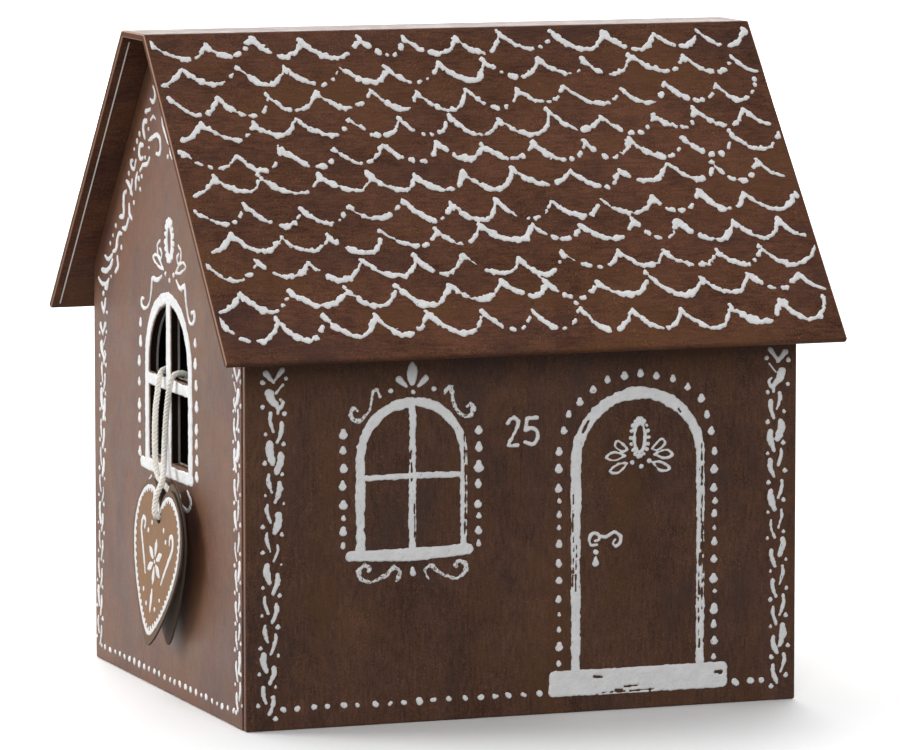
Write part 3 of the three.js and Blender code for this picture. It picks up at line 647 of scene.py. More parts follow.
# The roof is one wrapped board, creased along both edges of its ridge strip. Its ends carry a
# pale band along their rounded edges: worn paper and a painted highlight
eave = np.array((EAVE_REACH, EAVE_HEIGHT))
eave_under = eave - ROOF_BOARD * np.array((sine, cosine))
crease_under = np.array((shoulder, RIDGE_HEIGHT - ROOF_BOARD))
top = np.array((RIDGE_WIDTH / 2, RIDGE_HEIGHT))
right_half = [(*crease_under, 0), (*eave_under, 0.9), (*eave, 0.9), (*top, 1.6)]
profile = rounded(right_half + [(-y, z, r) for y, z, r in reversed(right_half)])
roof_end = face_of((ROOF_LENGTH / 2, 0, 0), (0, 1, 0), (0, 0, 1))
shape = board(profile, [], ROOF_LENGTH, ROOF_EDGE)
roof_board = add_board(
    "roof_board", roof_end, shape, ROOF_PAPER, "roof_paper", "roof_front", "roof_ridge", "roof_back",
)
paint_where(roof_board, roof_end, ROOF_END, lambda place, out: abs(out[2]) > 0.1)
# The rounded edges take the pale band: worn paper and a painted highlight
paint_where(roof_board, roof_end, WORN_EDGE_HIGHLIGHT, lambda place, out: 0.4 < abs(out[2]) < 0.9)

# The cut edge of the lining shows as a thin white line under each verge
VERGE_INSET = 3.7
VERGE_LINE = 0.5  # width, and thickness under the board
for name, face in (("front", ROOF_FRONT), ("back", ROOF_BACK)):
    for side in (-1, 1):
        u = side * (ROOF_LENGTH / 2 - VERGE_INSET)
        strip = rectangle(u - VERGE_LINE / 2, u + VERGE_LINE / 2, 3.5 - slope_length, -4)
        shape = board(strip, [], VERGE_LINE, 0.1, 1)
        label = f"verge_line_{name}_{'left' if side < 0 else 'right'}"
        add_board(label, raised(face, -ROOF_BOARD), shape, WHITE_EDGE, "roof_paper")

# ---------------------------------------------------------------- icing


def smooth_noise(random, rows, columns, step):
    """Noise about 0 that changes over that many grid points"""
    coarse = random.normal(size=(int(rows / step) + 3, int(columns / step) + 3))
    y, x = np.arange(rows) / step, np.arange(columns) / step
    row, column = y.astype(int), x.astype(int)
    down, across = (y - row)[:, None], (x - column)[None, :]
    down, across = down * down * (3 - 2 * down), across * across * (3 - 2 * across)
    low = coarse[row][:, column] * (1 - across) + coarse[row][:, column + 1] * across
    high = coarse[row + 1][:, column] * (1 - across) + coarse[row + 1][:, column + 1] * across
    return low * (1 - down) + high * down


class Icing:
    """Icing piped on a face: a grid of distances to its edge, negative inside, then a mesh"""

    FAR = 1.5  # the distance where there is no icing near
    RIM = 0.03  # how far the edge of the top lies under the board's face

    def __init__(self, left, right, low, high, seed, cell, mirror=1):
        self.cell = cell
        self.mirror = mirror
        if mirror < 0:
            left, right = -right, -left
        self.u = np.arange(left, right + cell, cell)
        self.v = np.arange(low, high + cell, cell)
        self.field = np.full((len(self.v), len(self.u)), self.FAR)
        self.random = np.random.default_rng(seed)

    def roll(self, low, high):
        """A random number between the two"""
        return self.random.uniform(low, high)

    def span(self, marks, low, high):
        """The slice of a grid's marks from low to high, with a few to spare"""
        ends = (np.array((low, high)) - marks[0]) / self.cell + (-3, 4)
        return slice(*np.clip(ends, 0, len(marks)).astype(int))

    def lay(self, left, right, low, high, distance, keep=np.minimum):
        """Adds icing where distance(u, v) is below 0, or takes it out, looking only inside that box"""
        across, up = self.span(self.u, left, right), self.span(self.v, low, high)
        part = self.field[up, across]
        if part.size:
            keep(part, distance(*np.meshgrid(self.u[across], self.v[up])), out=part)

    def stroke(self, line, widths, smooth=4, rough=0.05, carve=False):
        """A line of icing, or one taken out of it; widths is one number or one for each point,
        and rough varies them"""
        line = np.array(line, float) * (self.mirror, 1)
        widths = np.broadcast_to(np.asarray(widths, float), (len(line),))
        path = np.column_stack([line, widths])
        if smooth > 1 and len(path) > 2:
            path = through(path, smooth)
        path[:, 2] = np.maximum(path[:, 2] * (1 + rough * self.random.normal(size=len(path))), 0.5)
        sign, keep = (-1, np.maximum) if carve else (1, np.minimum)
        for (ua, va, wa), (ub, vb, wb) in zip(path, path[1:]):
            du, dv = ub - ua, vb - va
            square = max(du * du + dv * dv, 1e-6)

            def distance(u, v):
                t = np.clip(((u - ua) * du + (v - va) * dv) / square, 0, 1)
                return sign * (np.hypot(u - ua - t * du, v - va - t * dv) - (wa + t * (wb - wa)) / 2)

            reach = max(wa, wb) / 2 + 0.5
            ends = (min(ua, ub) - reach, max(ua, ub) + reach, min(va, vb) - reach, max(va, vb) + reach)
            self.lay(*ends, distance, keep)

    def drop(self, u, v, size, tail=0.0):
        """A dot, pulled up to a point where tail is given"""
        self.stroke([(u, v), (u, v + max(tail, 0.05))], [size, 0.6 * size if tail else size], 1)

    def scratch(self, u, low, high, width=0.6):
        """Takes upright slits out of the icing, broken here and there"""
        while low < high:
            top = low + self.roll(2, 9)
            middle = u + self.roll(-0.25, 0.25)
            self.stroke([(middle, low), (middle, top)], width * self.roll(0.7, 1.2), 1, 0, carve=True)
            low = top + self.roll(0.6, 3)

    def box(self, left, right, low, high, radius):
        """A slab of icing with rounded corners"""
        middle = np.array((self.mirror * (left + right) / 2, (low + high) / 2))
        half = np.array(((right - left) / 2, (high - low) / 2)) - radius

        def distance(u, v):
            out_u, out_v = abs(u - middle[0]) - half[0], abs(v - middle[1]) - half[1]
            outside = np.hypot(np.maximum(out_u, 0), np.maximum(out_v, 0))
            return outside + np.minimum(np.maximum(out_u, out_v), 0) - radius

        self.lay(middle[0] - half[0] - radius, middle[0] + half[0] + radius, low, high, distance)

    def mesh(self, height, soft, wobble, root=0.2):
        """Points (u, v, w) and triangles: a top that is round at its edge, sides let into the board"""
        rows, columns = self.field.shape
        wave = smooth_noise(self.random, rows, columns, 1.3 / self.cell)
        wave += 0.6 * smooth_noise(self.random, rows, columns, 3.4 / self.cell)
        field = self.field + wobble * wave
        field[[0, -1], :] = field[:, [0, -1]] = self.FAR
        field[self.field >= self.FAR] = self.FAR
        inside = field < 0
        lumps = 1 + 0.08 * smooth_noise(self.random, rows, columns, 2.6 / self.cell)

        def numbered(flags, start):
            return np.where(flags, start + np.cumsum(flags).reshape(flags.shape) - 1, -1)

        across = inside[:, :-1] != inside[:, 1:]
        upright = inside[:-1, :] != inside[1:, :]
        corner = numbered(inside, 0)
        level = numbered(across, inside.sum())
        plumb = numbered(upright, inside.sum() + across.sum())

        j, i = np.nonzero(inside)
        depth = np.clip(-field[j, i] / soft, 0, 1)
        top = height * np.sqrt(1 - (1 - depth) ** 2) * lumps[j, i]
        points = [np.stack([self.u[i], self.v[j], top], axis=1)]
        for crossed, right, up in ((across, 1, 0), (upright, 0, 1)):
            j, i = np.nonzero(crossed)
            here, there = field[j, i], field[j + up, i + right]
            step = self.cell * np.clip(here / (here - there), 0.1, 0.9)
            rim = np.full(len(i), -self.RIM)
            points.append(np.stack([self.u[i] + right * step, self.v[j] + up * step, rim], axis=1))
        points = np.concatenate(points)

        # The numbers at each cell's corners and on its sides; corners outside the icing have -1
        tokens = [corner[:-1, :-1], corner[:-1, 1:], corner[1:, 1:], corner[1:, :-1]]
        tokens += [level[:-1, :], plumb[:, 1:], level[1:, :], plumb[:, :-1]]
        case = sum((token >= 0).astype(int) << k for k, token in enumerate(tokens[:4]))
        tops, rims = [], []
        for kind in range(1, 16):
            where = np.nonzero(case == kind)
            walk = []
            for k in range(4):
                if kind >> k & 1:
                    walk.append(k)
                if (kind >> k & 1) != (kind >> (k + 1) % 4 & 1):
                    walk.append(4 + k)
            ring = [tokens[k][where] for k in walk]
            for k in range(1, len(ring) - 1):
                tops.append(np.stack([ring[0], ring[k], ring[k + 1]], axis=1))
            for k in range(len(ring)):
                n = (k + 1) % len(ring)
                if walk[k] > 3 and walk[n] > 3:
                    rims.append(np.stack([ring[k], ring[n]], axis=1))
        tops, rims = np.concatenate(tops), np.concatenate(rims)
        count = len(points)
        a, b = rims[:, 0], rims[:, 1]
        sides = [np.stack([a, a + count, b + count], axis=1), np.stack([a, b + count, b], axis=1)]
        under = points.copy()
        under[:, 2] = -root
        triangles = np.concatenate([tops, tops[:, ::-1] + count, *sides])
        return np.concatenate([points, under]), triangles


def add_icing(name, face, icing, slot, nodes, height=0.48, soft=0.75, wobble=0.13, material=ICING):
    points, triangles = icing.mesh(height, soft, wobble)
    piece = add_piece(name, on_face(face, points), triangles, material, slot, smooth=True)
    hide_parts(*nodes)
    return piece


# Ornament that several faces share


def column(icing, u, heights, sizes):
    """Drops up one side of an opening"""
    for v, size in zip(heights, np.broadcast_to(sizes, len(heights))):
        wide = size * icing.roll(0.87, 1.02)
        icing.drop(u + icing.roll(-0.3, 0.3), v - 0.2 * wide, wide, icing.roll(0.25, 0.45) * wide)


def row(icing, left, right, v, spacing, size):
    """Dots along the foot of a wall"""
    count = round((right - left) / spacing)
    for k in range(count + 1):
        u = left + (right - left) * k / count + icing.roll(-0.7, 0.7)
        wide = size * icing.roll(0.7, 1.1)
        start = (u, v + icing.roll(-0.4, 0.4))
        end = (u + icing.roll(0.1, 0.9), v + icing.roll(-0.4, 0.4))
        icing.stroke([start, end], wide, 1)


# A plait: the shape of its strokes and their widths from the top down, on its two sides, and the
# pieces over them, all from its axis
BRAID_TOP = 127.6
BRAID_PITCH = 12.25
BRAID_STROKE = [(2.5, 3.4), (2.7, 1.2), (2, -1.4), (0.9, -4)]
BRAID_WIDTHS = {
    -1: [1.8, 3.4, 1.7, 1.5, 1.3, 2.7, 1.6, 1.6, 2.7, 1.7],
    1: [2, 2.9, 2.4, 2.8, 1.2, 2, 1.9, 1.7, 2.2, 2],
}
BRAID_CROWN = [
    ([(-4.8, 145.2), (-1.3, 141.3)], [2.6, 1.2]),
    ([(2, 146.3), (-1.3, 141.9)], [2.3, 1.2]),
    ([(2.4, 140.4), (-0.3, 136.9)], [1.1, 0.8]),
    ([(-3.1, 136.9), (-2, 134.1), (0.6, 131.3), (0.7, 128.9)], [3.7, 3.4, 1.7, 1.4]),
    ([(1.6, 134.4), (2.7, 133), (1.9, 131.1), (0.6, 130.2)], [1.2, 1.6, 1.6, 1.2]),
]
BRAID_CROWN_DOTS = [(-6.1, 141.6, 2.1), (3.6, 142.8, 1.7), (-5.8, 131.7, 1.8), (3.4, 128.6, 1.9)]


def braid(icing, foot, top, side=1):
    """A plait of fat strokes up a corner, a dot beside each, under a crown of drops and a curl"""
    slope = (top[0] - foot[0]) / (top[1] - foot[1])

    def at(u, v):
        return foot[0] + slope * (v - foot[1]) + side * u, v

    for line, widths in BRAID_CROWN:
        icing.stroke([at(u, v) for u, v in line], widths)
    for u, v, size in BRAID_CROWN_DOTS:
        icing.drop(*at(u, v), size)
    for hand, sizes in BRAID_WIDTHS.items():
        for k, width in enumerate(sizes):
            v = BRAID_TOP - (k + (0.36 if hand > 0 else 0)) * BRAID_PITCH + icing.roll(-0.5, 0.5)
            reach, bend = icing.roll(0.85, 1.1), icing.roll(0.8, 1.05)
            line = [at(hand * a * bend, v - 2 + b * reach) for a, b in BRAID_STROKE]
            widths = [0.85 * width, 1.02 * width, 0.95 * width, max(0.72 * width, 1.1)]
            icing.stroke(line, widths, rough=0.1)
            dot = (hand * (3.7 + icing.roll(-0.6, 0.6)), v - 7 + icing.roll(-0.9, 0.9))
            icing.drop(*at(*dot), icing.roll(1.6, 2.3), 0.4)


def frame_line(left, right, foot, spring, steps=14):
    """Up one jamb, round the arch and down the other"""
    middle, radius = (left + right) / 2, (right - left) / 2
    angles = [math.pi * k / steps for k in range(steps + 1)]
    arch = [(middle - radius * math.cos(a), spring + radius * math.sin(a)) for a in angles]
    rise = [foot + (spring - foot) * k / 6 for k in range(6)]
    return [(left, v) for v in rise] + arch + [(right, v) for v in reversed(rise)]


def frame_icing(icing, line, widths, variation):
    """A line with those widths from its start to its end, each up to that share out"""
    marks = np.linspace(0, 1, len(line))
    widths = np.interp(marks, np.linspace(0, 1, len(widths)), widths)
    icing.stroke(line, [w * icing.roll(1 - variation, 1 + variation) for w in widths], 3)


def mirrored_pair(icing, centre, line, widths):
    """The line to the right of the centre, and its mirror image to the left"""
    for side in (-1, 1):
        icing.stroke([(centre + side * u, v) for u, v in line], widths, rough=0.16)


CROWN_SCROLL = [
    (14, 134), (15.1, 136.3), (16.9, 135.5), (17.7, 130), (20.2, 126),
    (22.7, 124.3), (25.3, 125), (26.4, 127.5), (25, 129.5), (23.5, 128.3),
]
CROWN_WIDTHS = [1.4, 1.8, 1.8, 1.5, 1.3, 1.6, 2.0, 2.0, 1.6, 1.3]
SILL_SCROLL = [
    (6.9, 58.4), (5.4, 62.3), (8.1, 63.9), (11, 61.2), (15.7, 59), (19.3, 58.5),
    (22.7, 60.7), (22.9, 63.5), (20.5, 65.2), (18.4, 64), (19, 62.9),
]
SILL_WIDTHS = [1.0, 1.6, 1.7, 1.7, 1.4, 1.3, 1.8, 2.0, 1.8, 1.4, 1.1]

# Widths of the drops beside the window from the top down
WINDOW_DROPS = (3.9, 3.7, 3.9, 3.6, 3.6, 2.6, 3.5, 2.5)
# Heights and widths of the drops on each side of the door
DOOR_DROPS = {
    15: ((21, 28, 35, 41, 47.5, 55.5, 62.5, 70.5, 77, 82.5, 88, 93.5, 101.5, 108.5),
         (2.3, 3.8, 2.5, 2.2, 3.4, 3.1, 3.4, 3.3, 2.1, 2.7, 2.0, 3.4, 3.5, 3.4)),
    83.5: ((20, 27, 33.5, 40, 47.5, 53, 61, 68, 73.8, 79.5, 85, 90.5, 98.5, 105.5),
           (2.4, 3.6, 3.0, 3.9, 2.2, 3.6, 3.4, 3.3, 2.0, 3.1, 2.7, 3.5, 3.5, 3.3)),
}
# Places of the drops over its arch
DOOR_ARCH = [
    (17, 116.5), (19, 123), (24, 128), (29.8, 133), (36, 136.5), (43.5, 138), (50.5, 138.6),
    (57.5, 137.5), (65, 135.8), (71.5, 132.2), (77.5, 127.3), (80, 120.3), (82, 113.5),
]


def front_window(icing, frames, scrolls, centre):
    """An arched window with a cross, a crown of drops and scrolls, dots and a sill"""
    line = frame_line(centre - 22.3, centre + 22.1, 70, 108.8)
    frame_icing(frames, line, [3.9, 3.9, 4.1, 4.0, 2.9, 2.8], 0.06)
    upright = [(centre + 0.1, 71), (centre, 90), (centre + 0.2, 112), (centre + 0.1, 131)]
    frames.stroke(upright, [2.8, 3.1, 3.0, 2.9])
    icing.stroke([(centre - 21, 100.7), (centre, 101), (centre + 21, 100.6)], [2.3, 2.6, 2.4])
    sill = [(centre - 26.4, 69.4), (centre - 10, 69), (centre + 8, 69.1), (centre + 24, 70)]
    icing.stroke(sill, [4.2, 5, 5.2, 4.6])
    for u, low, high in ((22.6, 76, 119), (23.2, 84, 112), (0.9, 76, 90), (-0.6, 98, 112)):
        frames.scratch(centre + u, low, high)
    column(icing, centre - 29.6, (119.7, 113, 106, 98.7, 91, 85.5, 80, 74), WINDOW_DROPS)
    column(icing, centre + 28.6, (119, 112, 104, 97, 89, 83.7, 78, 72.3), WINDOW_DROPS)
    icing.stroke([(centre, 138.8), (centre, 141.5), (centre, 144.4), (centre, 146.6)], [2.6, 4.3, 4.1, 2.2])
    for side in (-1, 1):
        icing.stroke([(centre + side * 2.6, 137.6), (centre + side * 5.8, 140.4)], [1.5, 2.9], 1)
        icing.drop(centre + side * 9.2, 136, 2.2)
    icing.drop(centre + 0.3, 135.1, 2.1)
    mirrored_pair(scrolls, centre, CROWN_SCROLL, CROWN_WIDTHS)
    mirrored_pair(scrolls, centre, SILL_SCROLL, SILL_WIDTHS)
    icing.drop(centre + 0.1, 61.4, 3, 1.6)


def beaded_oval(icing, centre, middle, half_width, half_height, beads):
    """A ring of icing with round beads on it, about a dark slot"""
    angles = 2 * np.pi * (np.arange(beads) + 0.5) / beads
    across, up = np.sin(angles), np.cos(angles)
    ring = np.stack([centre + 0.5 * half_width * across, middle + 0.7 * half_height * up], axis=1)
    icing.stroke([*ring, ring[0]], 0.34 * half_width, 2, rough=0.1)
    for c, s in zip(across, up):
        bead = 0.4 * half_width * icing.roll(0.85, 1.1)
        icing.drop(centre + 0.82 * half_width * c, middle + 0.9 * half_height * s, bead)


LEAF_LOOPS = [
    [(5.2, 107.5), (9.5, 111.3), (11, 109.2), (7.8, 106.8), (5.2, 107.5)],
    [(6.3, 105), (11.5, 106.8), (14.6, 104.6), (11, 103.3), (6.3, 105)],
    [(5.5, 101.9), (9.5, 101.7), (13.4, 98.8), (9.2, 98.2), (5.5, 101.9)],
]


def door(icing, frames, centre):
    """An arched door frame on a step, with drops round it, a jewel with six leaves and a handle"""
    line = frame_line(centre - 27.5, centre + 27.5, 17, 103.2, 18)
    frame_icing(frames, line, [4.2, 4.3, 4.6, 5.1, 5.0, 4.1, 3.7, 3.6], 0.07)
    icing.box(10.6, 89.4, 6.6, 17.4, 2.2)
    for u, low, high in ((-28.6, 52, 88), (-27.4, 50, 66), (27, 24, 60), (28.1, 40, 108), (28.8, 52, 76)):
        frames.scratch(centre + u, low, high)
    chips = [
        ((30.5, 14.3), (34, 13.8), 0.9), ((44, 9.4), (49.5, 9.6), 0.8), ((84.6, 13.2), (86.8, 13), 1.6),
        ((33, 7.3), (44, 7.5), 0.55), ((46.4, 7.4), (57, 7.7), 0.6), ((40, 8.2), (43, 8.2), 0.5),
        ((centre - 24.4, 115.5), (centre - 22.4, 119.4), 1.1),
        ((centre + 17.6, 123.4), (centre + 18.6, 122), 1),
    ]
    for start, end, width in chips:
        icing.stroke([start, end], width, 1, carve=True)
        frames.stroke([start, end], width, 1, carve=True)
    for u, (heights, sizes) in DOOR_DROPS.items():
        column(icing, u, heights, sizes)
    for u, v in DOOR_ARCH:
        icing.drop(u, v, 3.4 * icing.roll(0.82, 1.02), icing.roll(0.6, 1.2))
    beaded_oval(icing, centre + 0.5, 112.2, 4.8, 8.6, 18)
    for loop in LEAF_LOOPS:
        mirrored_pair(icing, centre + 0.6, loop, 0.95)
    for u, v in ((47, 102), (51, 100.3), (54.5, 102.5)):
        icing.drop(u, v, 2)
    ring = [(31.6, 68.9), (29, 68.8), (28.2, 71), (29.4, 73.4), (32, 73.2), (32.6, 71), (30.8, 70.4)]
    icing.stroke(ring, [1.1, 1.3, 1.5, 1.4, 1.3, 1.2, 1.1])
    lever = [(32.4, 72.4), (35.5, 71.9), (39, 73.7), (41.9, 72), (41.9, 69.4)]
    lever += [(40, 67.9), (38.6, 69.2), (39.6, 70.6)]
    icing.stroke(lever, [1.2, 1.4, 1.6, 1.7, 1.5, 1.3, 1.1, 1])
    icing.drop(31, 65.8, 2.3)
    icing.stroke([(31, 63.8), (31, 61.4)], [1.1, 2.6], 1)


def house_number(icing):
    """The number 25 between window and door"""
    two = [(-7.6, 120.6), (-6, 122.4), (-3.9, 122.6), (-2.9, 120.4), (-4.5, 116.6), (-7.4, 111.6)]
    icing.stroke(two, 1.6)
    icing.stroke([(-7.4, 111.6), (-5.5, 111.3), (-3.2, 111.5)], 1.6)
    icing.stroke([(5.3, 122.5), (0.9, 122.3)], 1.6, 1)
    icing.stroke([(0.9, 122.3), (0.3, 117.3)], 1.5, 1)
    icing.stroke([(0.3, 117.3), (3, 118.2), (5.2, 116.6), (5.4, 113.8), (3.5, 111.6), (0, 112.6)], 1.6)


# Left, right, low and high ends of the icing's grid on each kind of face
LONG_WALL = (-119, 119, 2, 149)
GABLE = (-101.5, 98, 2, 262)
SLOPE = (-132.6, 132.6, 4 - slope_length, -0.6)
TAG_PRINT = (-36, 36, -56, 16)


def long_wall(face, node, name, seed, fill, cells):
    """The icing of a long wall, in three pieces that have worn differently"""
    icings = [Icing(*LONG_WALL, seed + k, cell) for k, cell in enumerate(cells)]
    fill(*icings)
    kinds = (("icing", WORN_ICING, 0.13), ("frames", WORN_ICING, 0.17), ("scrolls", ROUGH_ICING, 0.22))
    for icing, (kind, material, wobble) in zip(icings, kinds):
        add_icing(f"{name}_{kind}", face, icing, "wall_paper", [node], wobble=wobble, material=material)


def fill_front(icing, frames, scrolls):
    """What the front wall carries"""
    front_window(icing, frames, scrolls, -48.7)
    door(icing, frames, 49.8)
    house_number(icing)
    row(icing, -104.5, 6, 8.5, 6.6, 2.5)
    row(icing, 93, 105, 8.5, 6, 2.4)
    braid(icing, (-111, 4), (-106.1, 148))
    braid(icing, (112.8, 4), (110, 148), -1)


def fill_back(icing, frames, scrolls):
    """What the back wall carries: a second window in place of door and number"""
    for centre in (-48.6, 48.6):
        front_window(icing, frames, scrolls, centre)
    row(icing, -104.5, 104.5, 8.5, 6.7, 2.5)
    braid(icing, (-110.5, 4), (-107, 148))
    braid(icing, (110.5, 4), (107, 148), -1)


long_wall(FRONT, "wall_front", "front", 25, fill_front, (0.4, 0.32, 0.32))
long_wall(BACK, "wall_back", "back", 52, fill_back, (0.55, 0.44, 0.36))

# Strokes of the gable's border under the roof from the eave to the ridge, each after its width
SLOPE_BORDER = [
    (2.0, (-95, 165), (-90.5, 163.2), (-84.5, 163.6), (-80.5, 166)),
    (1.7, (-81, 165.4), (-83, 162), (-85.5, 161.5)),
    (2.6, (-90, 169.2), (-84, 169.2), (-78.5, 171.4), (-75, 174.4)),
    (2.1, (-86, 175.6), (-81, 174.4), (-75, 177)),
    (2.2, (-68, 176.6), (-67, 173), (-70.8, 170)),
    (2.3, (-74, 178.4), (-69.6, 179.8), (-67.6, 184.4), (-65, 187), (-61.8, 187)),
    (2.2, (-60, 189.6), (-55.4, 190), (-52, 194)),
    (2.6, (-64, 194), (-58.6, 195.2), (-58.6, 200.6), (-57.8, 204.2), (-55, 205.6)),
    (2.4, (-50.6, 200.4), (-50.4, 196.6), (-47.4, 194.8)),
    (2.4, (-54, 210), (-50, 208.4), (-46.6, 205)),
    (2.2, (-46.4, 211), (-48.4, 205.4)),
    (2.0, (-39, 214.6), (-41, 211.6), (-41.4, 207.6)),
    (1.9, (-41, 219.8), (-43.4, 216), (-47, 216.4), (-48, 219), (-45.4, 219.4)),
    (2.2, (-31, 226.8), (-35, 226.6), (-36.4, 223.4), (-34.6, 221), (-31.4, 221.6)),
    (1.9, (-35, 216), (-31, 218.6), (-25, 219.6), (-22, 222.4)),
    (2.6, (-28.6, 230.4), (-30.6, 234), (-29, 237), (-25.8, 237.4)),
    (2.2, (-23, 229.6), (-17, 231.4), (-12, 232.6), (-7.6, 231.4), (-6.6, 227.6), (-8.6, 225),
     (-12.2, 224.8)),
    (2.0, (-27.4, 241), (-24, 242), (-20.8, 242.6)),
    (1.6, (-20, 238.4), (-16.6, 240), (-13.6, 239)),
    (2.0, (-16.6, 252.6), (-14, 250.6), (-14.2, 247.6), (-16.8, 246), (-20.4, 246.8)),
    (1.8, (-4.4, 241), (-3.4, 237), (0.4, 233.6), (3.6, 230.8), (6, 230.4)),
]
SLOPE_DOTS = [
    (-88.4, 159), (-77, 167.4), (-78, 181.4), (-74, 185.4), (-62, 181.2), (-70, 189.8), (-44, 201.8),
    (-51, 213.6), (-37, 212.6), (-33, 213.6), (-35, 208), (-43, 224.4), (-39, 228), (-35.6, 231.2),
    (-28, 222), (-26.4, 241.4), (-22.6, 226.4), (-23, 234.2), (3, 224.6), (-10.6, 249),
]
# Two leaves left of the jewel over the window; two like them stand mirrored on its right
GABLE_LEAVES = [
    [(-8, 189), (-11.4, 187), (-11, 183), (-7.4, 181.6), (-6, 184), (-8.4, 185.6)],
    [(-4, 177.4), (-10, 178), (-17.6, 180.8), (-14, 182.6), (-9, 181), (-4, 177.4)],
]
GABLE_JEWEL = 4.4  # the middle of it
# The scrolls under it, and the widths of each
GABLE_SCROLLS = [
    [(-6, 174.4), (-11, 172.4), (-14, 172), (-19, 172), (-20.6, 166), (-23.6, 161), (-29, 158.6),
     (-33.4, 159.4), (-34, 162), (-31, 162.6)],
    [(13.6, 174.4), (19, 171.4), (24.6, 173), (26.4, 168), (28.4, 163), (31, 159), (34.6, 158.4),
     (37.8, 160.4), (37.4, 163.4), (34.2, 163)],
]
GABLE_SCROLL_WIDTHS = [1.2, 2.2, 2.2, 1.9, 1.5, 1.3, 1.6, 2.2, 2, 1.4]
GABLE_SILL_SCROLL = [
    (10, 87.4), (14.3, 84.8), (17.6, 81.3), (24.3, 80.1),
    (28.6, 82.7), (29.2, 84.8), (26.7, 86.9), (24.4, 88.7),
]
GABLE_SILL_WIDTHS = [1.2, 1.8, 2.2, 2.2, 2, 2, 1.8, 1.3]
# Two strokes over the plait at the back
GABLE_BACK_TOP = [
    [(-85.4, 157), (-86.2, 154.4), (-87.4, 151.4)],
    [(-90.6, 154.8), (-89.4, 152.8), (-88, 150.8)],
]


def gable_icing(seed, mirror, cell):
    """Everything on a gable; mirror is -1 where the front is on its left"""
    icing = Icing(*GABLE, seed, cell, mirror)
    frame_icing(icing, frame_line(-26.9, 31.7, 96, 136.4, 20), [5.2, 5.1], 0.06)
    icing.stroke([(2.7, 96), (2.8, 120), (2.6, 140), (2.7, 166)], [5.8, 6, 5.8, 5.2])
    icing.stroke([(-26, 129.8), (0, 130), (31, 129.6)], [4.6, 5, 4.8])
    icing.stroke([(-34.4, 93.6), (-14, 93.2), (12, 93.4), (32.6, 93.6)], [4.8, 5.2, 5.2, 4.8])
    column(icing, -35.8, (152.5, 144.5), 4.4)
    column(icing, -37.6, (136, 127.5, 118, 112, 105, 98), 4.3)
    column(icing, 38.6, (151.5, 143), 4.4)
    column(icing, 40, (134, 125.5, 116, 109.5, 103, 96.5), 4.3)
    beaded_oval(icing, GABLE_JEWEL, 190, 6.8, 9.6, 17)
    for line in GABLE_LEAVES:
        icing.stroke(line, 1.3)
        icing.stroke([(2 * GABLE_JEWEL - u, v) for u, v in line], 1.3)
    for u, v in ((-1, 175.6), (4.6, 173.6), (10, 176.2)):
        icing.drop(u, v, 2.4)
    for line in GABLE_SCROLLS:
        icing.stroke(line, GABLE_SCROLL_WIDTHS)
    mirrored_pair(icing, GABLE_CENTRE + 0.1, GABLE_SILL_SCROLL, GABLE_SILL_WIDTHS)
    row(icing, -89, 86, 6.2, 6.9, 2.6)
    braid(icing, (-97.4, 3), (-87.7, 146))
    braid(icing, (93.4, 3), (91.4, 146), -1)
    for side in (1, -1):
        for width, *line in SLOPE_BORDER:
            if side < 0 and line[0][0] > -22:
                continue
            taper = [0.75, *[1.0] * (len(line) - 2), 0.8]
            icing.stroke([(side * u, v) for u, v in line], [width * t for t in taper])
        for u, v in SLOPE_DOTS:
            if side > 0 or u < -22:
                icing.drop(side * u, v, icing.roll(1.7, 2.6))
    for line in GABLE_BACK_TOP:
        icing.stroke(line, [1.5, 2.3, 1.5])
    icing.drop(-83.4, 151.4, 1.9)
    return icing


for name, face, seed, mirror, cell in (
    ("gable_left", LEFT, 31, 1, 0.45),
    ("gable_right", RIGHT, 32, -1, 0.6),
):
    icing = gable_icing(seed, mirror, cell)
    add_icing(name + "_icing", face, icing, "wall_paper", [name], height=0.32, soft=0.6)

ROWS = 11
FIRST_CUSPS = 4.5  # from the ridge down to the first row's peaks
ROW_PITCH = 14
SCALLOP = 21.85  # from peak to peak
SCALLOPS = 12  # in every second row
SCALLOP_DEPTH = 8.4
TROUGH = 0.58  # share of a scallop that lies left of its lowest point
WIDTH_MARKS = [0, 0.3, 0.62, 0.8, 1]  # shares of a scallop that have a width of their own
SCALLOP_WIDTHS = [[3.1, 2.7, 2.3, 2.1, 2.3], [2.1, 3, 2.6, 2.1, 2.4], [2.2, 2.4, 3, 2.4, 2.2]]
GAP_SHARE = 0.36  # of the scallops have a gap
DOTS_SHARE = 0.4  # of them have a stretch of dots
HALF_MARKS = (0, 0.3, 0.6, 0.9)  # along the half scallops at the ends of every second row


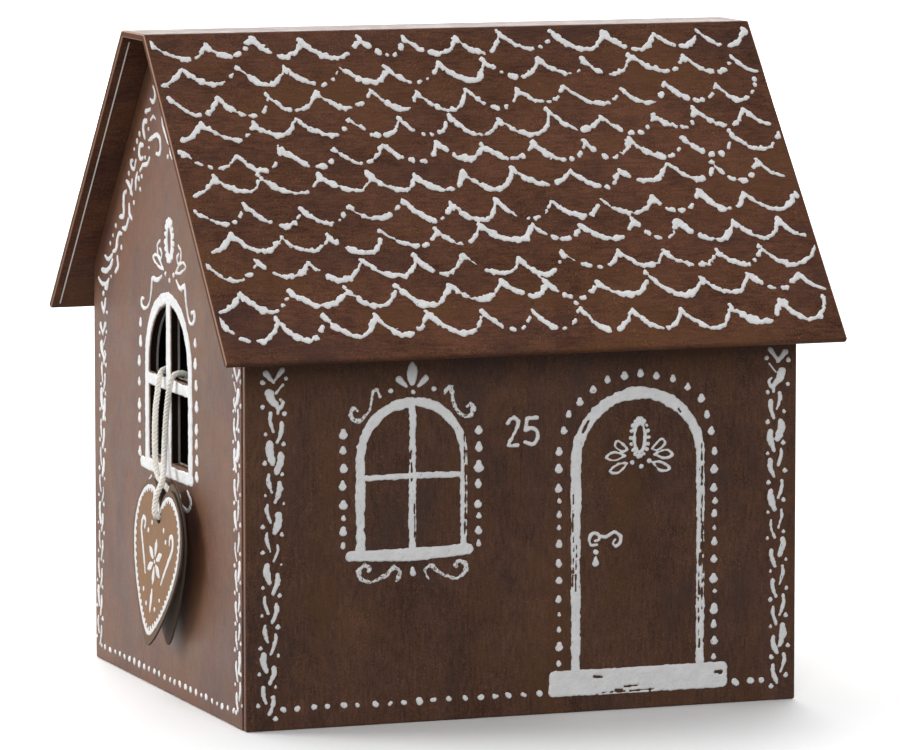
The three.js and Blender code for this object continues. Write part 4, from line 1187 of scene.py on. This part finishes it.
def scallop(icing, start, end, depth):
    """One curve between two peaks: long, thick and gentle on the left, short, steep and thinner,
    often broken or in dots, on the right"""
    trough = TROUGH + icing.roll(-0.08, 0.08)
    shares = np.linspace(0, 1, 18)
    down = np.clip(shares / trough, 0, 1)
    up = np.clip((1 - shares) / (1 - trough), 0, 1)
    sag = depth * np.where(shares < trough, 1 - (1 - down) ** 2, 1 - (1 - up) ** 2.3)
    line = np.outer(1 - shares, start) + np.outer(shares, end)
    line[:, 1] -= sag
    line += icing.random.uniform(-0.35, 0.35, line.shape)
    shape = SCALLOP_WIDTHS[int(icing.roll(0, len(SCALLOP_WIDTHS)))]
    widths = np.interp(shares, WIDTH_MARKS, shape)
    widths *= icing.roll(0.64, 0.9) * icing.random.uniform(0.66, 1.34, len(shares))
    path = through(np.column_stack([line, widths]), 4)
    walked = np.concatenate([[0], np.cumsum(np.linalg.norm(np.diff(path[:, :2], axis=0), axis=1))])
    walked /= walked[-1]
    piped = walked < 1 - max(icing.roll(-0.15, 0.12), 0)
    kind = icing.roll(0, 1)
    if kind < GAP_SHARE:
        gap = icing.roll(0.12, 0.78)
        piped[(walked > gap) & (walked < gap + icing.roll(0.1, 0.14))] = False
    elif kind < GAP_SHARE + DOTS_SHARE:
        here = icing.roll(0.15, 0.7)
        end = here + icing.roll(0.3, 0.7)
        while here < end:
            dot = here + icing.roll(0.1, 0.13)
            piped[(walked > here) & (walked < dot)] = False
            here = dot + icing.roll(0.01, 0.12)
    first = 0
    for k in range(1, len(path) + 1):
        if k == len(path) or piped[k] != piped[first]:
            if piped[first]:
                part = path[first:max(k, first + 2)]
                icing.stroke(part[:, :2], np.maximum(part[:, 2], 1.2), 1, 0.12)
            first = k


def scallops(seed, cell):
    """Rows of hanging curves, each row half a scallop along from the one above"""
    icing = Icing(*SLOPE, seed, cell)
    for k in range(ROWS):
        odd = k % 2
        count = SCALLOPS if odd else SCALLOPS + 1
        start = -SCALLOPS * SCALLOP / 2 + (SCALLOP / 2 if odd else 0)
        level = -(FIRST_CUSPS + k * ROW_PITCH)
        cusps = []
        for n in range(count):
            cusps.append((start + n * SCALLOP + icing.roll(-1.8, 1.8), level + icing.roll(-1.8, 1.8)))
        depth = SCALLOP_DEPTH + (1.8 if k == ROWS - 1 else 0)
        for here, there in zip(cusps, cusps[1:]):
            scallop(icing, here, there, depth + icing.roll(-1.4, 1.4))
        if odd:
            for (u, v), side in ((cusps[0], -1), (cusps[-1], 1)):
                half = [(u + side * SCALLOP / 2 * s, v - depth * (1 - (1 - s) ** 2.1)) for s in HALF_MARKS]
                icing.stroke(half, [1.8, 2.2, 1.9, 1.7], rough=0.12)
        for u, v in cusps:
            kind = icing.roll(0, 1)
            if kind < 0.5:
                peak = [(u, v + icing.roll(0.2, 1)), (u + 0.6, v - 1.6)]
                icing.stroke(peak, [1.8, icing.roll(2.3, 3.4)], 1)
            elif kind < 0.7:
                icing.drop(u - 0.8, v + icing.roll(0.4, 1.8), icing.roll(2, 3.1), 0.6)
    return icing


for name, face, seed, cell in (("roof_front", ROOF_FRONT, 11, 0.5), ("roof_back", ROOF_BACK, 12, 0.6)):
    icing = scallops(seed, cell)
    add_icing(name + "_icing", face, icing, "roof_paper", [name], wobble=0.28, material=WORN_ICING)

# ---------------------------------------------------------------- tags

BORDER = 2.6  # from the tag's edge to its white border
BORDER_WIDTH = 1.9
FLOWER_V = -19
PETAL = [(2.6, 1.3), (6, 3.4), (9.2, 1.3)]  # distances from the flower's middle, and widths
SWIRL = [(11, -26), (14, -21), (18, -15), (21.6, -9), (20.4, -4.4), (17, -5), (17.2, -8)]
TAG_DOTS = [(12, -8), (8, -4), (11, -33), (6, -38)]
TAG_LEAF = [(0, -31), (0, -35), (0, -40)]


def tag_drawing():
    """A white border with small teeth inside it, and plain leaves, petals and dots"""
    drawing = Icing(*TAG_PRINT, seed=70, cell=0.34)
    edging = heart(BORDER + BORDER_WIDTH / 2, 20)
    drawing.stroke([*edging, edging[0]], BORDER_WIDTH, 1)
    line = heart(BORDER + BORDER_WIDTH + 0.3, 20)
    teeth, _ = evenly(np.concatenate([line, line[:1]]), 3.1)
    for u, v in teeth[:-1]:
        drawing.drop(u, v, drawing.roll(1.5, 2.1))
    for angle in range(30, 360, 60):
        c, s = math.cos(math.radians(angle)), math.sin(math.radians(angle))
        drawing.stroke([(r * c, FLOWER_V + r * s) for r, _ in PETAL], [width for _, width in PETAL])
    drawing.drop(0, FLOWER_V, 2)
    for side in (-1, 1):
        drawing.stroke([(side * u, v) for u, v in SWIRL], [1.3, 1.8, 2.1, 2.2, 2.1, 1.8, 1.5])
        for u, v in TAG_DOTS:
            drawing.drop(side * u, v, 2.2)
    drawing.stroke(TAG_LEAF, [1.4, 3, 1.3])
    return drawing


tag_pieces = []
for name, facts, drawn in (("tag_front", FRONT_TAG, True), ("tag_back", BACK_TAG, False)):
    face = tag_face(**facts)
    hole = circle(0, 0, TAG_HOLE, 24)
    # Both tags are the darker card, and only the front one gets the lighter inlay and print, so the back
    # tag's face is painted shade
    backing = add_board(name + "_card", face, board(heart(), [hole], TAG, 0.15), KRAFT_RIM_AND_SHADE, "kraft", name)
    paint_where(backing, face, CARD_EDGE, lambda place, out: abs(out[2]) < 0.8)
    tag_pieces.append(backing)
    if drawn:
        print_hole = circle(0, 0, TAG_HOLE + 0.5, 24)
        inlay = board(heart(BORDER), [print_hole], 0.2, 0.04, 1)
        inlay = add_board(name + "_kraft", raised(face, 0.04), inlay, KRAFT, "kraft", name)
        points, triangles = tag_drawing().mesh(height=0.1, soft=0.4, wobble=0.1, root=0.05)
        points = on_face(raised(face, 0.04), points)
        ink = add_piece(name + "_ornament", points, triangles, TAG_WHITE, "kraft", smooth=True)
        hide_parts(name)
        tag_pieces += [inlay, ink]

# ---------------------------------------------------------------- floor and light


def floor_material():
    paint = Paint("pale floor")
    clouds = paint.noise(400, detail=3)
    color = paint.mix(paint.between(clouds, 0.3, 0.7), (0.93, 0.93, 0.93), (0.96, 0.96, 0.96))
    return paint.finish(color, paint.between(clouds, 0.3, 0.7, 0.75, 0.85), clouds, 0.2)


floor_mesh = bpy.data.meshes.new("floor")
rim = [(14 * math.cos(math.radians(a)), 14 * math.sin(math.radians(a)), -0.0002) for a in range(0, 360, 6)]
floor_mesh.from_pydata(rim, [], [range(len(rim))])
floor_mesh.materials.append(floor_material())
floor = bpy.data.objects.new("floor", floor_mesh)
bpy.context.scene.collection.objects.link(floor)
floor.visible_diffuse = False  # the walls take their light from the lamps, not from below

world = bpy.data.worlds.new("studio")
world.use_nodes = True
world.node_tree.nodes["Background"].inputs["Color"].default_value = (1, 1, 1, 1)
world.node_tree.nodes["Background"].inputs["Strength"].default_value = 0.3
bpy.context.scene.world = world


def add_light(name, kind, place, target, power, **shape):
    data = bpy.data.lights.new(name, kind)
    data.energy = power
    for key, value in shape.items():
        setattr(data, key, value)
    light = bpy.data.objects.new(name, data)
    light.location = place
    light.rotation_euler = (Vector(target) - Vector(place)).to_track_quat("-Z", "Y").to_euler()
    light.visible_camera = False
    bpy.context.scene.collection.objects.link(light)


MIDDLE = (0, 0, 0.15)
add_light("overhead", "SUN", (0, 2.1, 3), (0, 0, 0), 2.3, angle=math.radians(80))
add_light("front", "AREA", (-0.9, -3.0, 1.75), MIDDLE, 53, shape="RECTANGLE", size=1.8, size_y=1.8)
add_light("left", "AREA", (-2.0, 1.1, 0.8), MIDDLE, 35, shape="RECTANGLE", size=1.2, size_y=1.2)
add_light("backdrop", "AREA", (1.6, 5.4, 3), (1.6, 5.4, 0), 150, shape="RECTANGLE", size=5, size_y=3)
add_light("back right", "AREA", (1.2, 3.4, 0.8), MIDDLE, 50, shape="RECTANGLE", size=2.5, size_y=1.4)
